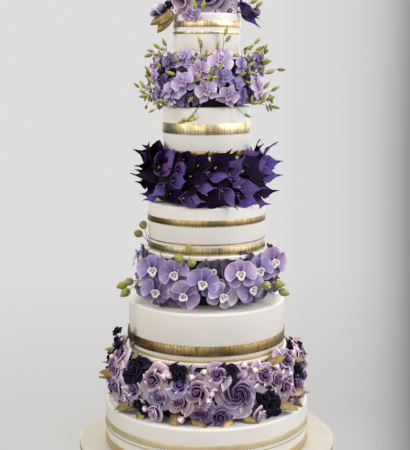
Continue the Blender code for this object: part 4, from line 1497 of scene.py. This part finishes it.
def build_spray_garland():
    """The fourth garland: small orchids, ones behind them darkened as painted shade, and the sprays of green
    buds.
    """
    looks = finishes()
    rng = random.Random(bpy.context.scene.cake_sizes.seed + 3)
    low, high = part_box("orchid_spray_garland")
    base = low.z
    core = garland_core("spray_garland_core", *SPRAY_BANK, base, high.z, looks["core"])
    finish(core, "separator_paste")
    orchid = build_small_orchid_template(looks["orchid"], looks["throat"])
    spots = list(FRONT_SPRAY_ORCHIDS)
    for k in range(26):
        angle = 94 + 172 * k / 25 + rng.uniform(-3, 3)
        rise = (28, 94, 60)[k % 3] + rng.uniform(-8, 8)
        spots.append((angle, rise, rng.uniform(112, 126), angle + rng.uniform(-28, 28), rng.uniform(-12, 28),
                      rng.uniform(0, 360), rng.uniform(0.95, 1.15), k % 4))
    shades = (linear("D4C2E2"), linear("E0CCE2"), linear("C0B2DC"), linear("9482B0"))
    parts = []
    for angle, rise, reach, facing, pitch, spin, size, shade in spots:
        place = place_at(around(reach * MM, angle, base + rise * MM), outward(facing, pitch), spin, size)
        parts.append((orchid, place, shades[shade]))
    for k in range(24):
        angle = 15 * k + rng.uniform(-5, 5)
        rise = (40, 86, 62)[k % 3] + rng.uniform(-8, 8)
        look = outward(angle + rng.uniform(-40, 40), rng.uniform(-15, 30))
        place = place_at(around(INNER_REACH, angle, base + rise * MM), look, rng.uniform(0, 360), 1.0)
        # darkened by INNER_SHADE: painted shade behind the front orchids
        tone = tuple(c * INNER_SHADE for c in shades[k % len(shades)])
        parts.append((orchid, place, tone))
    finish(gather("spray_orchids", parts), "orchid_petal", "orchid_spray_garland")
    discard([orchid])
    build_sprays(base, looks, rng)


# ---------------------------------------------------------------- the bouquet on top
# The share of their tone that the bouquet's roses keep, which darkens them as painted shade, and how its
# leaves are brightened
TOPPER_SHADE = 0.62
TOPPER_LEAF_TINT = (1.14, 1.2, 1.3)


def topper_roses(garden, rose, up):
    """The big rose at the front, one behind it and a smaller one at its side."""
    # node, flower, seat on the tier's top, look, radius in mm, tone and spin
    pieces = (
        ("topper_rose", garden, (0.004, -0.020, 0.030), (0.05, -0.80, 0.60), 55, "lilac", 84),
        ("topper_back_rose", garden, (-0.006, 0.040, 0.024), (-0.10, 0.60, 0.80), 54, "lilac", 80),
        ("topper_side_rose", rose, (-0.050, -0.024, 0.034), (-0.50, -0.72, 0.48), 32, "pink", 50),
    )
    for name, template, seat, look, size, tone, spin in pieces:
        place = place_at(Vector(seat) + up, look, spin, size * MM)
        # darkened by TOPPER_SHADE: painted shade
        shade = tuple(c * TOPPER_SHADE for c in tone_of(tone))
        finish(gather(f"{name}_bloom", [(template, place, shade)]), "rose_petal", name)


def topper_orchids(looks, up):
    """The small orchid that hangs at the front, and others between the roses behind."""
    orchid = build_small_orchid_template(looks["orchid"], looks["throat"])
    place = place_at(Vector((-0.032, -0.080, -0.008)) + up, (-0.12, -0.76, -0.64), 16, 1.0)
    bloom = gather("topper_orchid_bloom", [(orchid, place, linear("E2CCEA"))])
    finish(bloom, "orchid_petal", "topper_orchid")
    # seat, look and spin
    more = (
        ((0.068, 0.030, 0.034), (0.75, 0.30, 0.60), 40),
        ((-0.064, 0.050, 0.030), (-0.70, 0.55, 0.45), 100),
        ((0.044, 0.078, 0.020), (0.35, 0.85, 0.35), 10),
        ((-0.078, 0.004, 0.036), (-0.85, -0.10, 0.50), 60),
    )
    parts = [(orchid, place_at(Vector(at) + up, look, spin, 1.05), linear("A89AD0"))
             for at, look, spin in more]
    finish(gather("topper_orchids_behind", parts), "orchid_petal")
    discard([orchid])


def topper_rosebuds(cone, bud, up):
    """The half-open dark rose and the closed buds at the bouquet's two ends."""
    blue = linear("D2C8DE")
    brown = linear("86687E")
    # half-open or closed, seat, look, size in mm and colour
    placed = (
        (cone, (-0.082, -0.024, 0.010), (-0.60, -0.60, 0.50), 17, tone_of("night")),
        (bud, (-0.093, -0.036, 0.006), (-0.80, -0.50, 0.34), 13, blue),
        (bud, (-0.110, -0.042, 0.000), (-0.95, -0.30, 0.05), 9, blue),
        (bud, (0.104, -0.034, 0.004), (0.70, -0.60, -0.20), 9.5, brown),
    )
    parts = [(shape, place_at(Vector(at) + up, look, 40, size * MM), tone)
             for shape, at, look, size, tone in placed]
    finish(gather("topper_rosebuds", parts), "rose_petal", "topper_rosebud")


def topper_leaves(looks, up):
    """The lustred leaves that hang under the bouquet, brighter than those of the garland."""
    leaf = sheet("leaf", 6, 12, leaf_blade(0.24, 1.0, 0.45, 0.06, 0.05, 0.4), 0.02, looks["leaf"])
    # seat, the way it points, the way it faces, and length in mm
    blades = (
        ((-0.078, -0.040, 0.006), (-0.56, -0.10, -0.82), (-0.3, -1.0, 0.2), 60),
        ((-0.078, -0.046, 0.006), (-0.84, -0.10, -0.54), (-0.1, -1.0, 0.4), 58),
        ((0.070, 0.010, 0.006), (0.80, 0.45, -0.05), (0.3, 0.1, 1.0), 50),
        ((-0.030, 0.070, 0.004), (-0.45, 0.80, -0.10), (0.0, 0.4, 1.0), 50),
        ((0.030, 0.072, 0.004), (0.35, 0.80, -0.20), (0.0, 0.4, 1.0), 50),
    )
    parts = [(leaf, place_along(Vector(at) + up, along, face, size * MM), TOPPER_LEAF_TINT)
             for at, along, face, size in blades]
    finish(gather("topper_leaves", parts), "leaf_paste", "topper_leaf")
    discard([leaf])


def topper_hanging_blooms(looks, up):
    """Two violet callas that hang at the right, and one pale bloom at the left."""
    spathe = sheet("spathe", 8, 11, calla_spathe(0.20, 0.06, 0.03, TAIL), 0.016, looks["calla"])
    violet = bpy.context.scene.cake_colours.violet
    # seat, the way it points, the way it faces, length in mm and share of the violet
    callas = (
        ((0.070, -0.020, 0.026), (0.62, -0.14, -0.68), (0.2, -1.0, 0.3), 72, 0.75),
        ((0.064, -0.026, 0.024), (0.80, -0.16, -0.52), (0.1, -0.9, 0.5), 62, 0.45),
    )
    parts = [(spathe, place_along(Vector(at) + up, along, face, size * MM), tuple(c * share for c in violet))
             for at, along, face, size, share in callas]
    finish(gather("topper_dark_bloom", parts), "calla_petal", "topper_dark_flower")
    pale = sheet("pale", 8, 11, calla_spathe(0.34, 0.10, -0.05, 0.08), 0.02, looks["rose"])
    at = Vector((-0.050, -0.062, 0.046)) + up
    place = place_along(at, (-0.52, -0.22, -0.84), (-0.2, -1.0, 0.1), 50 * MM)
    finish(gather("topper_pale_bloom", [(pale, place, linear("D8BCCC"))]), "rose_petal")
    discard([spathe, pale])


def topper_sprigs(looks, up):
    """Green buds on short stems between the roses."""
    green = tuple(bpy.context.scene.cake_colours.bud_green)
    skin = sheet("bud", 6, 6, pointed_bud(0.18), 0.05, looks["bud"])
    # the bud's foot and the way it points
    sprigs = (
        ((-0.022, -0.086, 0.006), (-0.40, -0.10, 0.90)), ((-0.008, -0.086, 0.006), (0.12, -0.10, 0.95)),
        ((-0.050, -0.062, 0.040), (-0.50, -0.40, 0.75)), ((0.112, 0.000, 0.014), (0.70, -0.05, 0.60)),
        ((0.100, 0.010, 0.024), (0.80, 0.10, 0.40)), ((-0.082, 0.030, 0.034), (-0.80, 0.20, 0.55)),
    )
    parts, stems = [], []
    for at, look in sprigs:
        foot = Vector(at) + up
        stem = tube("stem", [foot * 0.5 + up * 0.5, foot], 0.6 * MM, looks["bud"])
        stems.append(stem)
        parts.append((stem, AS_IT_STANDS, linear(STEM_GREEN)))
        parts.append((skin, place_at(foot, look, 0, 24 * MM), green))
    finish(gather("topper_green_buds", parts), "leaf_paste")
    discard([skin, *stems])


def build_topper():
    """The bouquet on the top tier. Seats are in metres from the middle of the tier's top."""
    looks = finishes()
    up = Vector((0, 0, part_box("tier_5")[1].z))
    garden, roses, cone, bud = build_rose_templates(looks["rose"])
    topper_roses(garden, roses[1], up)
    topper_orchids(looks, up)
    topper_rosebuds(cone, bud, up)
    topper_leaves(looks, up)
    topper_hanging_blooms(looks, up)
    topper_sprigs(looks, up)
    discard([garden, cone, bud, *roses])


# ================================================================ the stage
# How bright the studio's walls are round the cake, by degrees from the front towards +X
PANELS = (
    (-180, 0.60), (-160, 0.40), (-140, 0.09), (-92, 0.05), (-74, 0.26), (-62, 0.56), (-30, 0.52),
    (-6, 0.48), (8, 0.20), (18, 0.07), (32, 0.08), (44, 0.48), (58, 0.66), (90, 0.58), (116, 0.38),
    (150, 0.44), (180, 0.60),
)


# How the backdrop falls off towards the right: stops of place and brightness
BACKDROP_SHADE = (
    (0.0, 1.0), (0.07, 0.955), (0.184, 0.92), (0.236, 0.87), (0.28, 0.80), (0.32, 0.67), (0.348, 0.54),
    (0.368, 0.42), (0.42, 0.36), (0.60, 0.50), (1.0, 0.95),
)
# The floor's radius, where it starts to fade and is gone, in metres, and how solid it is inside that
FLOOR_RADIUS = 1.2
FADE_START = 0.32
FADE_END = 0.46
FLOOR_ALPHA = 0.24
# How strongly the room lights the paste, and how strongly it shows in the gold
PASTE_LIGHT = 2.25
GOLD_LIGHT = 3.5


def stage_floor():
    """A pale disc of floor just under the board that fades out into the studio, so that only the
    soft shadow round the board shows."""
    bpy.ops.object.select_all(action="DESELECT")
    bpy.ops.mesh.primitive_circle_add(vertices=96, radius=FLOOR_RADIUS, fill_type="NGON",
                                      location=(0, 0, -0.5 * MM))
    floor = bpy.context.view_layer.objects.active
    floor.name = "pale_floor"
    bpy.ops.object.transform_apply(location=True, rotation=True, scale=True)
    made, tree, shader = new_material("pale_floor_paint", 0.8)
    shader.inputs["Base Color"].default_value = rgba(linear("D2D1CF"))
    coords = add_node(tree, "ShaderNodeTexCoord")
    reach = add_node(tree, "ShaderNodeVectorMath", {0: coords.outputs["Object"]}, operation="LENGTH")
    fade = add_node(tree, "ShaderNodeMapRange",
                    {"Value": reach.outputs["Value"], "From Min": FADE_START, "From Max": FADE_END,
                     "To Min": FLOOR_ALPHA, "To Max": 0.0}, interpolation_type="SMOOTHSTEP")
    tree.links.new(fade.outputs["Result"], shader.inputs["Alpha"])
    floor.data.materials.append(made)


def backdrop(tree, split):
    """The studio as the camera sees it: pale grey, paler above, falling off into shade at the right."""
    height = add_node(tree, "ShaderNodeMapRange",
                      {"Value": split.outputs["Z"], "From Min": -0.33, "From Max": -0.20})
    even = add_node(tree, "ShaderNodeMix",
                    {0: height.outputs["Result"], 6: rgba(linear("CFCECC")), 7: rgba(linear("DEDDDD"))},
                    **MIXED)
    across = add_node(tree, "ShaderNodeMapRange",
                      {"Value": split.outputs["X"], "From Min": 0.07, "From Max": 0.42})
    falling = add_node(tree, "ShaderNodeValToRGB", {"Fac": across.outputs["Result"]}, BACKDROP_SHADE)
    shaded = add_node(tree, "ShaderNodeMix", {0: 1.0, 6: even.outputs[2], 7: falling.outputs["Color"]},
                      **MULTIPLIED)
    return shaded.outputs[2]


def lit_room(tree, split):
    """The studio as the cake sees it: the bright and dark walls of PANELS, dimmer towards the floor."""
    back = add_node(tree, "ShaderNodeMath", {0: split.outputs["Y"], 1: -1.0}, operation="MULTIPLY")
    bearing = add_node(tree, "ShaderNodeMath", {0: split.outputs["X"], 1: back.outputs[0]},
                       operation="ARCTAN2")
    turn = add_node(tree, "ShaderNodeMapRange",
                    {"Value": bearing.outputs[0], "From Min": -math.pi, "From Max": math.pi})
    stops = [((degrees + 180) / 360, bright) for degrees, bright in PANELS]
    panels = add_node(tree, "ShaderNodeValToRGB", {"Fac": turn.outputs["Result"]}, stops)
    lift = add_node(tree, "ShaderNodeMapRange",
                    {"Value": split.outputs["Z"], "From Min": -0.26, "From Max": 0.02,
                     "To Min": 0.22, "To Max": 1.0}, interpolation_type="SMOOTHSTEP")
    dimmed = add_node(tree, "ShaderNodeMix",
                      {0: 1.0, 6: panels.outputs["Color"], 7: lift.outputs["Result"]}, **MULTIPLIED)
    return dimmed.outputs[2]


def stage_world():
    """The studio round the cake, brighter for the gold to mirror than for the paste to be lit by."""
    world = bpy.data.worlds.new("studio")
    world.use_nodes = True
    tree = world.node_tree
    tree.nodes.clear()
    coords = add_node(tree, "ShaderNodeTexCoord")
    split = add_node(tree, "ShaderNodeSeparateXYZ", {"Vector": coords.outputs["Generated"]})
    path = add_node(tree, "ShaderNodeLightPath")
    seen = add_node(tree, "ShaderNodeBackground", {"Color": backdrop(tree, split), "Strength": 1.0})
    shine = add_node(tree, "ShaderNodeMapRange",
                     {"Value": path.outputs["Is Glossy Ray"], "To Min": PASTE_LIGHT, "To Max": GOLD_LIGHT})
    lit = add_node(tree, "ShaderNodeBackground",
                   {"Color": lit_room(tree, split), "Strength": shine.outputs["Result"]})
    choice = add_node(tree, "ShaderNodeMixShader", {"Fac": path.outputs["Is Camera Ray"],
                      1: lit.outputs["Background"], 2: seen.outputs["Background"]})
    add_node(tree, "ShaderNodeOutputWorld", {"Surface": choice.outputs["Shader"]})
    bpy.context.scene.world = world


# Each lamp: name, place, the height it is aimed at, watts, colour, and whether the gold mirrors it
LAMPS = (
    ("key_light", (1.414, -1.065, 1.60), 1.03, 18.4, "F4F7FF", True),
    ("left_fill", (-1.484, -0.57, 1.53), 1.03, 15, "FFFBF3", False),
)
LAMP_WIDTH = 0.60
LAMP_HEIGHT = 0.90
# The camera's place and how many degrees it looks down
CAMERA_SPOT = (-0.0035, -2.335, 0.9115)
CAMERA_DROP = 9.3


def stage_lamps():
    """A cool key light from the right and a warmer fill from the left."""
    for name, spot, aim, watts, glow, mirrored in LAMPS:
        light = bpy.data.lights.new(name, "AREA")
        light.shape = "RECTANGLE"
        light.size = LAMP_WIDTH
        light.size_y = LAMP_HEIGHT
        light.energy = watts
        light.color = linear(glow)
        lamp = bpy.data.objects.new(name, light)
        bpy.context.scene.collection.objects.link(lamp)
        lamp.location = spot
        lamp.rotation_euler = (Vector((0, 0, aim)) - Vector(spot)).to_track_quat("-Z", "Y").to_euler()
        lamp.visible_camera = False
        lamp.visible_glossy = mirrored


def build_stage():
    """A pale studio with its floor, its light and the camera, which looks down on the cake a little."""
    stage_floor()
    stage_world()
    stage_lamps()
    scene = bpy.context.scene
    view = bpy.data.cameras.new("camera")
    view.lens = 80
    view.sensor_width = 36
    camera = bpy.data.objects.new("camera", view)
    scene.collection.objects.link(camera)
    camera.location = CAMERA_SPOT
    camera.rotation_euler = (math.radians(90 - CAMERA_DROP), 0, 0)
    scene.camera = camera
    scene.view_settings.view_transform = "Standard"


# ================================================================ operators and panel
class CAKE_OT_stage(bpy.types.Operator):
    """Set out the floor, the lights and the camera"""
    bl_idname = "cake.stage"
    bl_label = "Stage"
    bl_options = {"REGISTER", "UNDO"}

    def execute(self, context):
        build_stage()
        return {"FINISHED"}


class CAKE_OT_board(bpy.types.Operator):
    """Cover the round board and edge it with ribbon"""
    bl_idname = "cake.board"
    bl_label = "Board"
    bl_options = {"REGISTER", "UNDO"}

    def execute(self, context):
        build_board()
        return {"FINISHED"}


class CAKE_OT_tiers(bpy.types.Operator):
    """Cover the tiers and their plates with fondant"""
    bl_idname = "cake.tiers"
    bl_label = "Tiers and Plates"
    bl_options = {"REGISTER", "UNDO"}

    def execute(self, context):
        build_tiers()
        return {"FINISHED"}


class CAKE_OT_ribbons(bpy.types.Operator):
    """Wrap the gilded ribbons round the tiers"""
    bl_idname = "cake.ribbons"
    bl_label = "Gilded Ribbons"
    bl_options = {"REGISTER", "UNDO"}

    def execute(self, context):
        build_ribbons()
        return {"FINISHED"}


class CAKE_OT_beads(bpy.types.Operator):
    """Lay the rows of gilded beads along the ribbons"""
    bl_idname = "cake.beads"
    bl_label = "Bead Rows"
    bl_options = {"REGISTER", "UNDO"}

    def execute(self, context):
        build_beads()
        return {"FINISHED"}


class CAKE_OT_separators(bpy.types.Operator):
    """Cover the drums between the tiers with dark paste"""
    bl_idname = "cake.separators"
    bl_label = "Separators"
    bl_options = {"REGISTER", "UNDO"}

    def execute(self, context):
        build_separators()
        return {"FINISHED"}


class CAKE_OT_rose_garland(bpy.types.Operator):
    """Arrange the roses, buds and leaves under the second tier"""
    bl_idname = "cake.rose_garland"
    bl_label = "Rose Garland"
    bl_options = {"REGISTER", "UNDO"}

    def execute(self, context):
        build_rose_garland()
        return {"FINISHED"}


class CAKE_OT_moth_orchids(bpy.types.Operator):
    """Arrange the moth orchids and their buds under the third tier"""
    bl_idname = "cake.moth_orchids"
    bl_label = "Moth Orchids"
    bl_options = {"REGISTER", "UNDO"}

    def execute(self, context):
        build_moth_orchids()
        return {"FINISHED"}


class CAKE_OT_callas(bpy.types.Operator):
    """Arrange the callas under the fourth tier"""
    bl_idname = "cake.callas"
    bl_label = "Callas"
    bl_options = {"REGISTER", "UNDO"}

    def execute(self, context):
        build_callas()
        return {"FINISHED"}


class CAKE_OT_spray_garland(bpy.types.Operator):
    """Arrange the small orchids and bud sprays under the top tier"""
    bl_idname = "cake.spray_garland"
    bl_label = "Orchid Sprays"
    bl_options = {"REGISTER", "UNDO"}

    def execute(self, context):
        build_spray_garland()
        return {"FINISHED"}


class CAKE_OT_topper(bpy.types.Operator):
    """Set the bouquet on the top tier"""
    bl_idname = "cake.topper"
    bl_label = "Top Bouquet"
    bl_options = {"REGISTER", "UNDO"}

    def execute(self, context):
        build_topper()
        return {"FINISHED"}


OPERATORS = (
    CAKE_OT_stage, CAKE_OT_board, CAKE_OT_tiers, CAKE_OT_ribbons, CAKE_OT_beads, CAKE_OT_separators,
    CAKE_OT_rose_garland, CAKE_OT_moth_orchids, CAKE_OT_callas, CAKE_OT_spray_garland,
    CAKE_OT_topper,
)


class CAKE_PT_panel(bpy.types.Panel):
    """Lists the cake's pieces and settings"""
    bl_idname = "CAKE_PT_panel"
    bl_label = "Wedding Cake"
    bl_space_type = "VIEW_3D"
    bl_region_type = "UI"
    bl_category = "Cake"

    def draw(self, context):
        column = self.layout.column()
        for operator in OPERATORS:
            column.operator(operator.bl_idname)
        for settings in (context.scene.cake_sizes, context.scene.cake_colours):
            for key in settings.__annotations__:
                column.prop(settings, key)


CLASSES = (CakeSizes, CakeColours, *OPERATORS, CAKE_PT_panel)


def register():
    """Add the cake's classes and settings to Blender."""
    for cls in CLASSES:
        bpy.utils.register_class(cls)
    bpy.types.Scene.cake_sizes = PointerProperty(type=CakeSizes)
    bpy.types.Scene.cake_colours = PointerProperty(type=CakeColours)


def unregister():
    """Take the cake's classes and settings out again."""
    del bpy.types.Scene.cake_colours
    del bpy.types.Scene.cake_sizes
    for cls in reversed(CLASSES):
        bpy.utils.unregister_class(cls)


def main():
    """Build every piece through its operator."""
    register()
    for operator in OPERATORS:
        group, name = operator.bl_idname.split(".")
        getattr(getattr(bpy.ops, group), name)()


if __name__ == "__main__":
    main()
